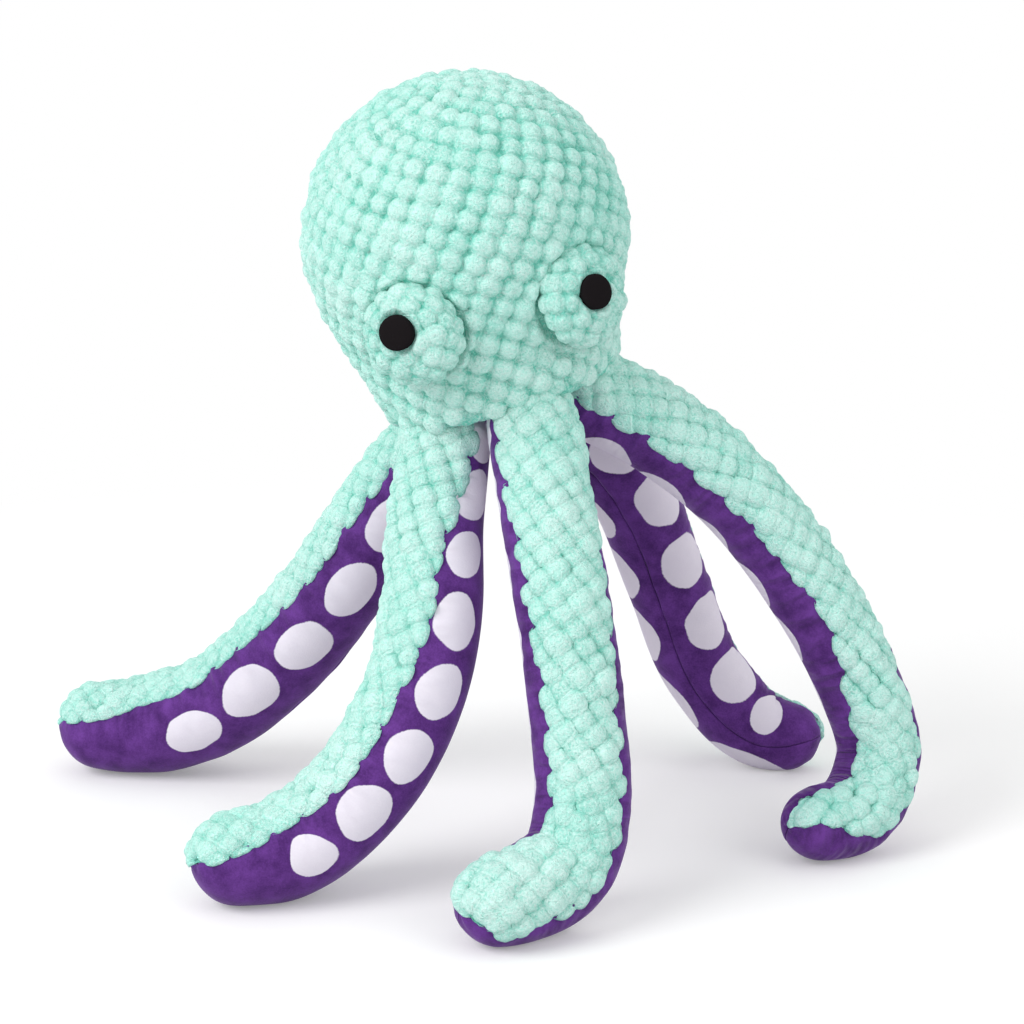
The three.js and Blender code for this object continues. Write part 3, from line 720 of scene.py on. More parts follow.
class Bobbles:
    """The bobbles of one piece: their middles on the bare cloth, each with its own size and height."""

    def __init__(self, middles, seed, radius, sharpness, lift_share=1):
        sizes = values_of("bobbles")
        jitter = sizes.jitter
        rng = np.random.default_rng(seed)
        amount = len(middles)
        self.sharpness = sharpness
        self.middles = np.asarray(middles) + rng.normal(0, jitter * radius / 2, (amount, 3))
        self.radii = radius * (1 + rng.uniform(-jitter, jitter, amount))
        self.lifts = sizes.lift * lift_share * (1 + rng.uniform(-2 * jitter, 2 * jitter, amount))
        self.axes = unit(rng.normal(0, 1, (amount, 3)))
        self.stretch = 1 + rng.uniform(0, 2 * jitter, amount)
        self.tree = KDTree(amount)
        for index, middle in enumerate(self.middles):
            self.tree.insert(middle, index)
        self.tree.balance()

    def heights(self, points):
        """How far the bobbles lift each point of the cloth, as a smooth union of domes."""
        nearest = [self.tree.find_n(point, NEAR_BOBBLES) for point in points]
        indices = np.array([[index for _, index, _ in found] for found in nearest])
        ground = GROUND_SHARE * self.lifts.mean()
        total = np.full(len(points), ground ** self.sharpness)
        for index in indices.T:
            offset = points - self.middles[index]
            along = np.einsum("ij,ij->i", offset, self.axes[index])
            squared = np.einsum("ij,ij->i", offset, offset) - along ** 2 * (1 - self.stretch[index] ** -2)
            dome = np.sqrt(np.clip(1 - squared / self.radii[index] ** 2, 0, 1)) * self.lifts[index]
            total += dome ** self.sharpness
        return total ** (1 / self.sharpness)

    def strands(self, points, normals):
        """Direction in which each point's fibre stands off its bobble, mirrored anew for each bobble.

        It fades to nothing in the crease, so that the two sides of a crease agree.
        """
        found = [self.tree.find_n(point, 2) for point in points]
        nearest = np.array([pair[0][1] for pair in found])
        apart = np.array([pair[1][2] - pair[0][2] for pair in found])
        axes = self.axes[nearest]
        rise = normals * self.radii[nearest, None] * FIBRE_RISE_SHARE
        away = unit(points - self.middles[nearest] + rise)
        mirrored = away - 2 * np.einsum("ij,ij->i", away, axes)[:, None] * axes
        return mirrored * smoothstep(apart / self.radii[nearest], 0, CREASE_SHARE)[:, None]


def fluff(points, size):
    """Uneven fluff, from -1 to 1, whose tufts are about a size across."""
    return np.array([noise.noise(Vector(point) / size) for point in points])


def pressed(points, middles, radius, shares):
    """The share of the bobbles' height that is left at each point, near what is sewn over them."""
    left, start, end = shares
    distance = np.min([np.linalg.norm(points - np.array(middle), axis=1) for middle in middles], axis=0)
    return left + (1 - left) * smoothstep(distance, radius * start, radius * end)


def write_fibres(piece, shares, strands):
    """Keeps how high each point lies on its bobble, from 0 in the crease to 1, and its fibres' direction."""
    heights = piece.data.attributes.new("bobble_height", "FLOAT", "POINT")
    write_rows(heights.data, "value", shares)
    directions = piece.data.attributes.new("bobble_strands", "FLOAT_VECTOR", "POINT")
    write_rows(directions.data, "vector", strands)


def add_bobbles(piece, bobbles, mask, moving=None, overhang=None):
    """Lifts the cloth into bobbles, weakened by the mask. Overhang tilts the lift sideways."""
    sizes = values_of("bobbles")
    points = points_of(piece)
    chosen = np.arange(len(points)) if moving is None else np.flatnonzero(moving)
    base = points[chosen]
    outward = normals_of(piece)[chosen]
    heights = bobbles.heights(base) * mask[chosen]
    direction = outward if overhang is None else unit(outward + overhang[chosen])
    nap = sum(fluff(base, size) * sizes.nap for size in NAP_TUFTS)
    points[chosen] = base + direction * (heights - sizes.sink)[:, None] + outward * nap[:, None]
    move_points(piece, points)
    shares = np.zeros(len(points))
    shares[chosen] = np.clip(heights / sizes.lift, 0, 1)
    strands = np.zeros((len(points), 3))
    strands[chosen] = bobbles.strands(base, outward)
    write_fibres(piece, shares, strands)


# Shaders

class Term:
    """One output of a shader node, which takes part in sums as a number does."""

    def __init__(self, finish, socket):
        self.finish = finish
        self.socket = socket

    def maths(self, operation, *values, clamp=False):
        settings = {"operation": operation, "use_clamp": clamp}
        return self.finish.node("ShaderNodeMath", settings, dict(enumerate(values)))

    def __add__(self, other):
        return self.maths("ADD", self, other)

    def __sub__(self, other):
        return self.maths("SUBTRACT", self, other)

    def __rsub__(self, other):
        return self.maths("SUBTRACT", other, self)

    def __mul__(self, other):
        return self.maths("MULTIPLY", self, other)

    def __truediv__(self, other):
        return self.maths("DIVIDE", self, other)

    def __pow__(self, other):
        return self.maths("POWER", self, other)

    __radd__ = __add__
    __rmul__ = __mul__

    def clamped(self):
        return self.maths("ADD", self, 0, clamp=True)

    def rounded(self):
        return self.maths("ROUND", self)

    def over(self, limit):
        return self.maths("GREATER_THAN", self, limit)

    def swing(self, amount):
        """A noise from 0 to 1, made to swing about 0 by an amount."""
        return (self - 0.5) * amount


class Finish:
    """The nodes of a material or a world. The node method adds any node and gives back one of its outputs."""

    def __init__(self, holder):
        self.holder = holder
        holder.use_nodes = True
        self.tree = holder.node_tree
        self.tree.nodes.clear()

    def node(self, kind, settings=None, inputs=None, output=0):
        made = self.tree.nodes.new(kind)
        for setting, value in (settings or {}).items():
            setattr(made, setting, value)
        for name, value in (inputs or {}).items():
            if isinstance(value, Term):
                self.tree.links.new(value.socket, made.inputs[name])
            else:
                made.inputs[name].default_value = value
        return Term(self, made.outputs[output]) if made.outputs else None

    def place(self):
        return self.node("ShaderNodeTexCoord", output="Object")

    def noise(self, place, scale, detail=2, roughness=0.5):
        inputs = {"Vector": place, "Scale": scale, "Detail": detail, "Roughness": roughness}
        return self.node("ShaderNodeTexNoise", {}, inputs)

    def mixed(self, factor, first, second):
        return self.node("ShaderNodeMix", {"data_type": "RGBA"}, {0: factor, 6: first, 7: second}, output=2)

    def bump(self, height, strength, distance, normal=None):
        inputs = {"Height": height, "Strength": strength, "Distance": distance}
        if normal is not None:
            inputs["Normal"] = normal
        return self.node("ShaderNodeBump", {}, inputs)

    def close(self, **inputs):
        """Ends the material in one surface shader and gives the material back."""
        named = {name.replace("_", " "): value for name, value in inputs.items()}
        shader = self.node("ShaderNodeBsdfPrincipled", {}, named)
        self.node("ShaderNodeOutputMaterial", {}, {"Surface": shader})
        return self.holder


def rgba(colour_property):
    return (*colour_property, 1)


def bobble_plush(finish):
    """Mint plush: painted shade in the creases between bobbles, whitish fibre tips, painted highlight on tops."""
    colours = values_of("colours")
    place = finish.place()
    height = finish.node("ShaderNodeAttribute", {"attribute_name": "bobble_height"}, output="Fac")
    strands = finish.node("ShaderNodeAttribute", {"attribute_name": "bobble_strands"}, output="Vector")
    tufts = finish.noise(strands, 4.5, 3, 0.65) * 0.5 + finish.noise(place, 1100, 2) * 0.5
    clumps = finish.noise(place, 260, 2)
    patches = finish.noise(place, 30, 2)
    # Painted shade and light: from the creases up to the bobbles' tops the colour goes from the crease shade to plain
    # mint, made uneven by the tufts and clumps
    lit = (height * 1.2 - 0.15 + tufts.swing(1.8) + clumps.swing(0.8)).clamped()
    base = finish.mixed(lit, rgba(colours.mint_crease_shade), rgba(colours.mint))
    # Whitish fibre tufts at random, with a painted highlight that grows towards the bobbles' tops
    tufts_and_highlight = (tufts.swing(4) + patches.swing(1.5) + height * 0.5 - 0.1).clamped()
    hairs = finish.noise(place, 1500, 2, 0.7)
    return finish.close(
        Base_Color=finish.mixed(tufts_and_highlight * 0.7, base, rgba(colours.mint_tip_highlight)),
        Roughness=0.92 + 0.08 * tufts,
        Normal=finish.bump(tufts * 0.75 + hairs * 0.25, 1, 0.002),
        Sheen_Weight=0.3,
        Sheen_Roughness=0.5,
        Sheen_Tint=rgba(colours.mint_sheen),
        Specular_IOR_Level=0.15,
    )


def spot_mask(finish, place, across, back):
    """1 on the white spots and 0 beside them. Each spot has a size and a place of its own."""
    spot = back.rounded()
    chance = finish.node("ShaderNodeTexWhiteNoise", {"noise_dimensions": "1D"}, {"W": spot * 1.7 + 0.3})
    size = 0.94 + chance * 0.14
    along = (back - spot) / values_of("spots").long_share
    aside = across + chance.swing(0.2)
    wobble = finish.noise(place, 75, 1).swing(0.4)
    edge = finish.noise(place, 1200, 2).swing(0.05)
    radius = (along ** 2 + aside ** 2) ** 0.5 / size + wobble + edge
    return ((1 - radius) * 26 + 0.5).clamped() * spot.over(-0.5)


def velour(finish, spotted):
    """Purple velour. The spotted kind has a row of white spots, and gathers along its outer seam with painted shade.
    """
    colours = values_of("colours")
    place = finish.place()
    nap = finish.noise(place, 120, 3, 0.6)
    grain = finish.noise(place, 1500, 2, 0.7)
    nap_and_fold_shade = nap.swing(2.2) + grain.swing(1.2)
    folds = None
    if spotted:
        pattern = finish.node("ShaderNodeUVMap", {"uv_map": "pattern"})
        across = finish.node("ShaderNodeSeparateXYZ", {}, {"Vector": pattern}, output="X")
        back = finish.node("ShaderNodeSeparateXYZ", {}, {"Vector": pattern}, output="Y")
        ways = finish.node("ShaderNodeCombineXYZ", {}, {"X": across * 0.35, "Y": back * 4})
        gathers = (finish.noise(ways, 1.4, 1) - 0.5) * ((0 - across) * 0.5).clamped()
        # Painted shade and light: the gathers that bump the folds also darken the velour in their hollows and lighten
        # it on their ridges
        nap_and_fold_shade = nap_and_fold_shade + gathers * 1.1
        folds = finish.bump(gathers, 1, 0.0045)
    nap_and_fold_shade = (nap_and_fold_shade + 0.5).clamped()
    shown = finish.mixed(nap_and_fold_shade, rgba(colours.purple_dark_nap_and_fold_shade), rgba(colours.purple))
    if spotted:
        white = finish.mixed(nap_and_fold_shade * 0.3, rgba(colours.spot), rgba(colours.spot_dark_nap_and_fold_shade))
        shown = finish.mixed(spot_mask(finish, place, across, back), shown, white)
    return finish.close(
        Base_Color=shown,
        Roughness=0.8 + 0.15 * grain,
        Normal=finish.bump(grain * 0.7 + nap * 0.3, 0.35, 0.0004, folds),
        Sheen_Weight=0.3,
        Sheen_Roughness=0.35,
        Sheen_Tint=rgba(colours.purple_sheen),
        Specular_IOR_Level=0.2,
    )


def black_felt(finish):
    colours = values_of("colours")
    place = finish.place()
    fibres = finish.noise(place, 2200, 3, 0.7)
    lumps = finish.noise(place, 500, 2)
    return finish.close(
        Base_Color=finish.mixed(fibres * 0.5 + lumps * 0.3, rgba(colours.felt), rgba(colours.felt_fibre)),
        Roughness=0.85 + 0.15 * fibres,
        Normal=finish.bump(fibres * 0.6 + lumps * 0.4, 0.5, 0.0003),
        Specular_IOR_Level=0.05,
    )


def dress(piece, name, maker, **kind):
    """Gives the piece the material of that name, which is made at its first use."""
    material = bpy.data.materials.get(name)
    if material is None:
        material = maker(Finish(bpy.data.materials.new(name)), **kind)
    piece.data.materials.clear()
    piece.data.materials.append(material)


# The head

def head_stand():
    return Matrix.Translation(RING_MIDDLE) @ Matrix.Rotation(-values_of("head").lean, 4, "Y")


def neck_radius():
    return RING_RADIUS + values_of("tentacles").root_radius * NECK_COVER_SHARE


def rim_height():
    return values_of("tentacles").root_radius * RIM_SHARE


def head_side():
    """The head's side from the crown to its rim, as rows of radius and height."""
    sizes = values_of("head")
    turn = np.linspace(math.pi / 2, 0, CROWN_POINTS)
    crown_heights = sizes.bulb_rise + sizes.bulb_radius * np.sin(turn)
    crown = np.stack([sizes.bulb_radius * np.cos(turn), crown_heights], 1)
    swelling = sizes.bulb_radius - neck_radius()
    places = [rim_height() / sizes.bulb_rise, *[rise for rise, _ in NECK_SHARES], 1]
    swells = [0, *[swell for _, swell in NECK_SHARES], 1]
    rises = np.linspace(BULB_START_SHARE, places[0], SIDE_POINTS)
    radii = neck_radius() + swelling * np.interp(rises, places, swells)
    blur = 2 * SIDE_BLUR + 1
    radii = np.convolve(np.pad(radii, SIDE_BLUR, mode="edge"), np.ones(blur) / blur, mode="valid")
    return np.concatenate([crown, np.stack([radii, sizes.bulb_rise * rises], 1)])


def along_outline(outline, share):
    """Radius and height at shares of an outline's length, and that length."""
    reached = way_along(outline)
    place = np.asarray(share) * reached[-1]
    return np.interp(place, reached, outline[:, 0]), np.interp(place, reached, outline[:, 1]), reached[-1]


def head_form(piece):
    """Moves a sphere's points onto the head's outline, closed by a rolled rim and a flat bottom."""
    sizes = values_of("head")
    side = head_side()
    roll = np.linspace(0, math.pi / 2, RIM_POINTS)[1:]
    radius, height = side[-1]
    rim_radii = radius - sizes.rim_round * (1 - np.cos(roll))
    rolled = np.stack([rim_radii, height - sizes.rim_round * np.sin(roll)], 1)
    outline = np.concatenate([side, rolled, [[0, height - sizes.rim_round]]])
    points = points_of(piece)
    reach, turn = polar(points)
    radii, heights, _ = along_outline(outline, np.arctan2(reach, points[:, 2]) / math.pi)
    overhang = sizes.bulb_shift * smoothstep(heights, OVERHANG_START, OVERHANG_END)
    across = radii * np.cos(turn) + overhang
    move_points(piece, placed(head_stand(), np.stack([across, radii * np.sin(turn), heights], 1)))


def head_bobbles(tree):
    """Middles of the head's bobbles, evenly spread from the crown to the rim in crossing spirals."""
    share = np.linspace(0, 1, AREA_POINTS)
    radii, heights, total = along_outline(head_side(), share)
    steps = (radii[1:] + radii[:-1]) * math.pi * np.diff(share) * total
    area = np.concatenate([[0], np.cumsum(steps)])
    amount = round(area[-1] / values_of("bobbles").head_spacing ** 2)
    reached = (np.arange(amount) + 0.5) / amount * area[-1]
    turn = np.arange(amount) * math.pi * (3 - math.sqrt(5))
    radius = np.interp(reached, area, radii)
    local = np.stack([radius * np.cos(turn), radius * np.sin(turn), np.interp(reached, area, heights)], 1)
    return [on_cloth(tree, middle) for middle in placed(head_stand(), local)]


def build_head():
    """The bulb and neck of bobble plush. Its rim is sewn down, and the pads press its bobbles flat."""
    sizes = values_of("head")
    bobble_sizes = values_of("bobbles")
    head = ball("head_plush", sizes.bulb_radius, segments=72, rings=48)
    head_form(head)
    even_out(head, sizes.grain, rounds=6)
    local = placed(head_stand().inverted(), points_of(head))
    sewn = local[:, 2] < rim_height() + sizes.rim_round
    stuff(head, sizes.bulb_radius, values_of("stuffing").head_cap, pinned=sewn)
    subdivide(head, 2)
    middles = head_bobbles(tree_of(head))
    bobbles = Bobbles(middles, bobble_sizes.seed, bobble_sizes.head_radius, HEAD_SHARPNESS)
    pads = [pad_stand(sign).translation for sign in (-1, 1)]
    left = pressed(points_of(head), pads, values_of("eyes").pad_radius, UNDER_PAD_SHARES)
    add_bobbles(head, bobbles, mask=left)
    shade_smooth(head)
    dress(head, "bobble plush", bobble_plush)
    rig.ride(head, "head")
    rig.replaces(head, "head_cover", "head_stuffing")
    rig.slot(head, "bobble_fabric")
    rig.padded(head, fill=0.9)


def build_neck_panel():
    """The purple cloth that closes the neck, with folds drawn together under the tentacles."""
    sizes = values_of("tentacles")
    radius = neck_radius() - 2 * sizes.cover_wall
    panel = disc("neck_base_velour", radius, corners=96)
    bpy.ops.object.mode_set(mode="EDIT")
    bpy.ops.mesh.select_all(action="SELECT")
    inset_rings(PANEL_RINGS, radius / (PANEL_RINGS + 2))
    bpy.ops.object.mode_set(mode="OBJECT")
    points = points_of(panel)
    distance, turn = polar(points)
    reach = distance / radius
    folds = FOLD_HEIGHT * np.sin(turn * FOLD_NUMBER + SWAY_HEIGHT * np.sin(turn * SWAY_NUMBER))
    folds = folds * smoothstep(reach, FOLD_START_SHARE, FOLD_END_SHARE)
    points[:, 2] = rim_height() + folds - PANEL_SAG * (1 - reach ** 2)
    move_points(panel, placed(head_stand(), points))
    apply(panel, "SOLIDIFY", "Cloth", thickness=sizes.panel_wall, offset=0)
    subdivide(panel, 1)
    shade_smooth(panel)
    dress(panel, "plain velour", velour, spotted=False)
    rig.ride(panel, "head")
    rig.replaces(panel, "neck_base_panel")
    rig.slot(panel, "velour")


# The eyes

def facing(turn):
    return Vector((math.sin(turn), -math.cos(turn), 0))


def head_radius_at(height):
    side = head_side()[::-1]
    return float(np.interp(height, side[:, 1], side[:, 0]))


def pad_stand(sign):
    """Where a pad stands: its middle on the head's side, its +Z axis pointing out of the head."""
    sizes = values_of("eyes")
    height = sizes.right_height if sign > 0 else sizes.left_height
    inward = 0 if sign > 0 else sizes.left_inward
    outward = facing(sizes.face_turn + sign * (sizes.spread - inward))
    place = outward * head_radius_at(height)
    place.z = height
    return head_stand() @ Matrix.Translation(place) @ turned_to(outward)


def eye_axis(sign):
    """The direction from a pad's middle to its eye, in the world."""
    sizes = values_of("eyes")
    look = facing(sizes.face_turn + sign * (sizes.spread - sizes.eye_inward))
    look.z = math.tan(sizes.eye_up)
    return (head_stand().to_3x3() @ look).normalized()


def pad_form(pad, stand, radius):
    """Makes a unit sphere a cushion that stands further out of the head than it sinks in."""
    sizes = values_of("eyes")
    points = points_of(pad)
    lift = np.where(points[:, 2] > 0, sizes.pad_proud, sizes.pad_sink)
    flat, _ = polar(points)
    full = (1 - np.abs(points[:, 2]) ** PAD_ROUNDNESS) ** (1 / PAD_ROUNDNESS) / np.maximum(flat, TINY)
    shaped = np.stack([points[:, 0] * full * radius, points[:, 1] * full * radius, points[:, 2] * lift], 1)
    move_points(pad, placed(stand, shaped))


def pad_bobbles(stand, radius, tree):
    """Middles of a pad's bobbles, in rings from its rim to its middle."""
    proud = values_of("eyes").pad_proud
    middles = []
    for amount, out, rise, offset in PAD_RING_SHARES:
        for turn in (np.arange(amount) + offset) * 2 * math.pi / amount:
            local = Vector((radius * out * math.cos(turn), radius * out * math.sin(turn), proud * rise))
            middles.append(on_cloth(tree, stand @ local))
    return middles


def build_pad(side, stand, eye_place, seed):
    """A raised rosette of bobbles, pressed flat under its eye."""
    sizes = values_of("eyes")
    bobble_sizes = values_of("bobbles")
    radius = sizes.pad_radius - (bobble_sizes.lift - bobble_sizes.sink) / 2
    pad = ball(f"{side}_eye_rosette", 1, segments=48, rings=32)
    pad_form(pad, stand, radius)
    even_out(pad, sizes.pad_grain, rounds=4)
    stuff(pad, radius, values_of("stuffing").pad_cap)
    subdivide(pad, 2)
    middles = pad_bobbles(stand, radius, tree_of(pad))
    bobbles = Bobbles(middles, seed, bobble_sizes.pad_radius, PAD_SHARPNESS, PAD_LIFT_SHARE)
    left = pressed(points_of(pad), [eye_place], sizes.eye_radius, UNDER_EYE_SHARES)
    add_bobbles(pad, bobbles, mask=left)
    shade_smooth(pad)
    dress(pad, "bobble plush", bobble_plush)
    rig.ride(pad, "head")
    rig.replaces(pad, f"{side}_eye_pad_cover", f"{side}_eye_pad_stuffing")
    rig.slot(pad, "bobble_fabric")
    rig.padded(pad, fill=0.9)


def build_eye(side, axis, eye_place, seed):
    """A felt disc, crowned and pressed between the bobbles."""
    sizes = values_of("eyes")
    wall = sizes.eye_wall
    eye = disc(f"{side}_eye_felt", sizes.eye_radius, corners=72)
    bpy.ops.object.mode_set(mode="EDIT")
    bpy.ops.mesh.select_all(action="SELECT")
    bpy.ops.mesh.extrude_region_move(TRANSFORM_OT_translate={"value": (0, 0, wall)})
    inset_rings(EYE_RINGS, sizes.eye_radius / (EYE_RINGS + 1))
    bpy.ops.mesh.select_all(action="SELECT")
    bpy.ops.mesh.normals_make_consistent(inside=False)
    bpy.ops.object.mode_set(mode="OBJECT")
    points = points_of(eye)
    distance, turn = polar(points)
    reach = distance / sizes.eye_radius
    top = points[:, 2] > wall / 2
    crown = wall * EYE_CROWN_SHARE * np.sqrt(np.clip(1 - reach ** 2, 0, 1))
    points[:, 2] += np.where(top, crown - wall * EYE_PRESS_SHARE, -wall)
    rng = np.random.default_rng(seed)
    ragged = sum(rng.uniform(0.2, 1) / wave * np.sin(wave * turn + rng.uniform(0, 6)) for wave in EYE_WAVES)
    points[:, :2] *= (1 + EYE_WAVE_SHARE * ragged * reach ** 2)[:, None]
    move_points(eye, placed(Matrix.Translation(eye_place) @ turned_to(axis), points))
    apply(eye, "BEVEL", "Soft edge", width=wall * EYE_BEVEL_SHARE, segments=2, limit_method="ANGLE")
    subdivide(eye, 1)
    shade_smooth(eye)
    dress(eye, "black felt", black_felt)
    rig.ride(eye, "head")
    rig.replaces(eye, f"{side}_eye")
    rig.slot(eye, "felt")


def build_eyes():
    for side, sign in (("left", -1), ("right", 1)):
        low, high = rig.box(f"{side}_eye")
        eye_place = (low + high) / 2
        build_pad(side, pad_stand(sign), eye_place, EYE_SEEDS[side])
        build_eye(side, eye_axis(sign), eye_place, EYE_SEEDS[side])


# The tentacles

class Route:
    """A tentacle's middle line from its hinge to its tip, sampled finely, with its cross directions."""

    def __init__(self, name, drop):
        table = TENTACLES[name]
        heading = math.radians(table["heading"])
        outward = np.array((math.cos(heading), math.sin(heading), 0))
        sideways = np.array((-math.sin(heading), math.cos(heading), 0))
        shares = np.array([(0, 0, 1), *table["route_shares"], (1, 0, 0)], float)
        reach = table["reach"]
        corners = (reach * shares[:, :1] * outward + reach * shares[:, 1:2] * sideways
                   + drop * (shares[:, 2:] - 1) * UP)
        self.points = curve_through(corners)
        self.reached = way_along(self.points)
        self.length = self.reached[-1]
        self.tangents = unit(np.gradient(self.points, axis=0))
        self.tangents[0] = unit(self.points[1] - self.points[0])
        side = unit(np.cross(self.tangents[0], UP))
        tops = [np.cross(side, self.tangents[0])]
        for tangent in self.tangents[1:]:
            top = tops[-1] - tangent * np.dot(tops[-1], tangent)
            tops.append(unit(top))
        self.tops = np.array(tops)
        self.twist = table["twist"]
        self.spread = table["spread"]
        self.girth = table["girth"]
        self.hinge = HINGES[name]

    def read(self, rows, inside):
        """Rows that belong to the samples, read at distances along the route."""
        return np.stack([np.interp(inside, self.reached, column) for column in rows.T], 1)

    def at(self, place):
        """Middle, tangent, top and side directions at distances along the route, which may be under 0."""
        place = np.asarray(place, float)
        inside = np.clip(place, 0, self.length)
        tangent = unit(self.read(self.tangents, inside))
        middle = self.read(self.points, inside) + self.tangents[0] * np.minimum(place, 0)[:, None]
        top = self.read(self.tops, inside)
        top = unit(top - tangent * np.einsum("ij,ij->i", top, tangent)[:, None])
        side = np.cross(tangent, top)
        twist = np.radians(between(self.twist, inside / self.length))[:, None]
        turned_top = top * np.cos(twist) + side * np.sin(twist)
        return middle + self.hinge, tangent, turned_top, np.cross(tangent, turned_top)


def curve_through(corners):
    """A smooth curve through all corners, centripetal, as a fine row of points."""
    before = 2 * corners[0] - corners[1]
    after = 2 * corners[-1] - corners[-2]
    knots = np.concatenate([[before], corners, [after]])
    share = np.linspace(0, 1, CURVE_POINTS, endpoint=False)[:, None]
    rows = []
    for index in range(1, len(knots) - 2):
        p0, p1, p2, p3 = knots[index - 1:index + 3]
        d0, d1, d2 = (np.linalg.norm(b - a) ** 0.5 for a, b in ((p0, p1), (p1, p2), (p2, p3)))
        start = ((p1 - p0) / d0 - (p2 - p0) / (d0 + d1) + (p2 - p1) / d1) * d1
        end = ((p2 - p1) / d1 - (p3 - p1) / (d1 + d2) + (p3 - p2) / d2) * d1
        rows.append(p1 + start * share + (3 * (p2 - p1) - 2 * start - end) * share ** 2
                    + (2 * (p1 - p2) + start + end) * share ** 3)
    return np.concatenate([*rows, corners[-1:]])


def radius_at(place, girth):
    """Radius of a tentacle's tube at shares of its length."""
    sizes = values_of("tentacles")
    full = sizes.full_radius * girth
    swollen = sizes.root_radius + (full - sizes.root_radius) * between(SWELL_SHARES, place)
    return swollen + (sizes.tip_radius * girth - full) * smoothstep(place, TAPER_START_SHARE, 1)


def tube_profile(route):
    """The tube's outline from its root opening to its tip: place along the route, radius, way along it."""
    sizes = values_of("tentacles")
    turn = np.linspace(sizes.root_opening, math.pi / 2, ROOT_POINTS)[:-1]
    root = np.stack([-sizes.root_radius * np.cos(turn), sizes.root_radius * np.sin(turn)], 1)
    tip_start = route.length - sizes.tip_length
    places = np.linspace(0, tip_start, TUBE_POINTS)
    tube = np.stack([places, radius_at(places / route.length, route.girth)], 1)
    turn = np.linspace(0, math.pi / 2, TIP_POINTS)[1:]
    tip = np.stack([tip_start + sizes.tip_length * np.sin(turn), tube[-1, 1] * np.cos(turn)], 1)
    outline = np.concatenate([root, tube, tip])
    outline[:, 1] = np.maximum(outline[:, 1] - sizes.panel_step, 0)
    outline[-1, 1] = 0
    return outline[:, 0], outline[:, 1], way_along(outline)


class Tube:
    """The bare surface of a tentacle, by the way along its outline and the angle from its top line."""

    def __init__(self, route):
        self.route = route
        self.full = values_of("tentacles").full_radius * route.girth
        self.places, self.radii, self.ways = tube_profile(route)
        self.total = self.ways[-1]

    def place(self, way):
        return np.interp(way, self.ways, self.places)

    def radius(self, way):
        return np.interp(way, self.ways, self.radii)

    def points(self, way, turn):
        middle, _, top, side = self.route.at(self.place(way))
        around = top * np.cos(turn)[:, None] + side * np.sin(turn)[:, None]
        return middle + self.radius(way)[:, None] * around

    def seam_turn(self, way):
        """Angle from the top line to the seam of the top cover."""
        half = values_of("tentacles").top_half_angle
        place = np.clip(self.place(way) / self.route.length, 0, 1)
        return half + (math.pi - half) * between(self.route.spread, place)

    def spread(self, way, turn):
        """Angle from the top line of a column, by the angle that it has where columns are even."""
        even = even_turn(values_of("tentacles").seam_columns)
        seam = self.seam_turn(way)
        inside = np.abs(turn) * seam / even
        outside = seam + (np.abs(turn) - even) * (math.pi - seam) / (math.pi - even)
        return np.sign(turn) * np.where(np.abs(turn) <= even, inside, outside)


def even_turn(columns):
    """The angle that a number of columns takes up where columns are even."""
    return columns * 2 * math.pi / values_of("tentacles").columns


def seated_tube(name):
    """The tube whose lowest line lies a floor cut under the floor."""
    sizes = values_of("tentacles")
    drop = HINGES[name][2] - sizes.full_radius
    along, around = SEAT_POINTS
    for _ in range(SEAT_ROUNDS):
        tube = Tube(Route(name, drop))
        way, turn = np.meshgrid(np.linspace(0, tube.total, along), np.linspace(0, 2 * math.pi, around))
        lowest = tube.points(way.ravel(), turn.ravel())[:, 2].min()
        drop += lowest + sizes.floor_cut
    return tube


def tube_cloth(name, tube):
    """A flat grid of cloth, wrapped round the tube and sewn along its underside and over its tip."""
    sizes = values_of("tentacles")
    deselect()
    bpy.ops.mesh.primitive_grid_add(
        x_subdivisions=sizes.columns, y_subdivisions=round(tube.total / sizes.grain), size=1)
    cloth = newest(f"{name}_cloth")
    flat = points_of(cloth)
    turn = flat[:, 0] * 2 * math.pi
    way = (flat[:, 1] + 0.5) * tube.total
    cloth.data.uv_layers[0].name = "pattern"
    write_pattern(cloth, np.stack([turn * tube.full, way], 1)[corners_of(cloth)])
    move_points(cloth, tube.points(way, tube.spread(way, turn)))
    activate(cloth)
    bpy.ops.object.mode_set(mode="EDIT")
    bpy.ops.mesh.select_all(action="SELECT")
    bpy.ops.mesh.remove_doubles(threshold=0.0001)
    bpy.ops.mesh.normals_make_consistent(inside=False)
    bpy.ops.object.mode_set(mode="OBJECT")
    return cloth


def cut_panel(cloth, name, low, high):
    """A copy of the cloth that keeps only the faces between two girths."""
    panel = cloth.copy()
    panel.data = cloth.data.copy()
    bpy.context.collection.objects.link(panel)
    panel.name = name
    panel.data.name = name
    girths = corner_pattern(panel)[:, 0]
    activate(panel)
    bpy.ops.object.mode_set(mode="EDIT")
    bpy.ops.mesh.select_mode(type="FACE")
    bpy.ops.object.mode_set(mode="OBJECT")
    for polygon in panel.data.polygons:
        middle = girths[polygon.loop_start:polygon.loop_start + polygon.loop_total].mean()
        polygon.select = not low < middle < high
    bpy.ops.object.mode_set(mode="EDIT")
    bpy.ops.mesh.delete(type="FACE")
    bpy.ops.object.mode_set(mode="OBJECT")
    return panel


def thicken(piece, wall):
    """Gives the cloth its thickness, inwards. The outer points keep their order and come first."""
    outer = len(piece.data.vertices)
    apply(piece, "SOLIDIFY", "Cloth", thickness=wall, offset=-1, use_even_offset=False)
    return np.arange(len(piece.data.vertices)) < outer


def press_flat(piece, moving, wall):
    """Presses a foot flat on the floor, and keeps the lining a wall above it."""
    points = points_of(piece)
    points[:, 2] = np.maximum(points[:, 2], np.where(moving, 0, wall))
    move_points(piece, points)


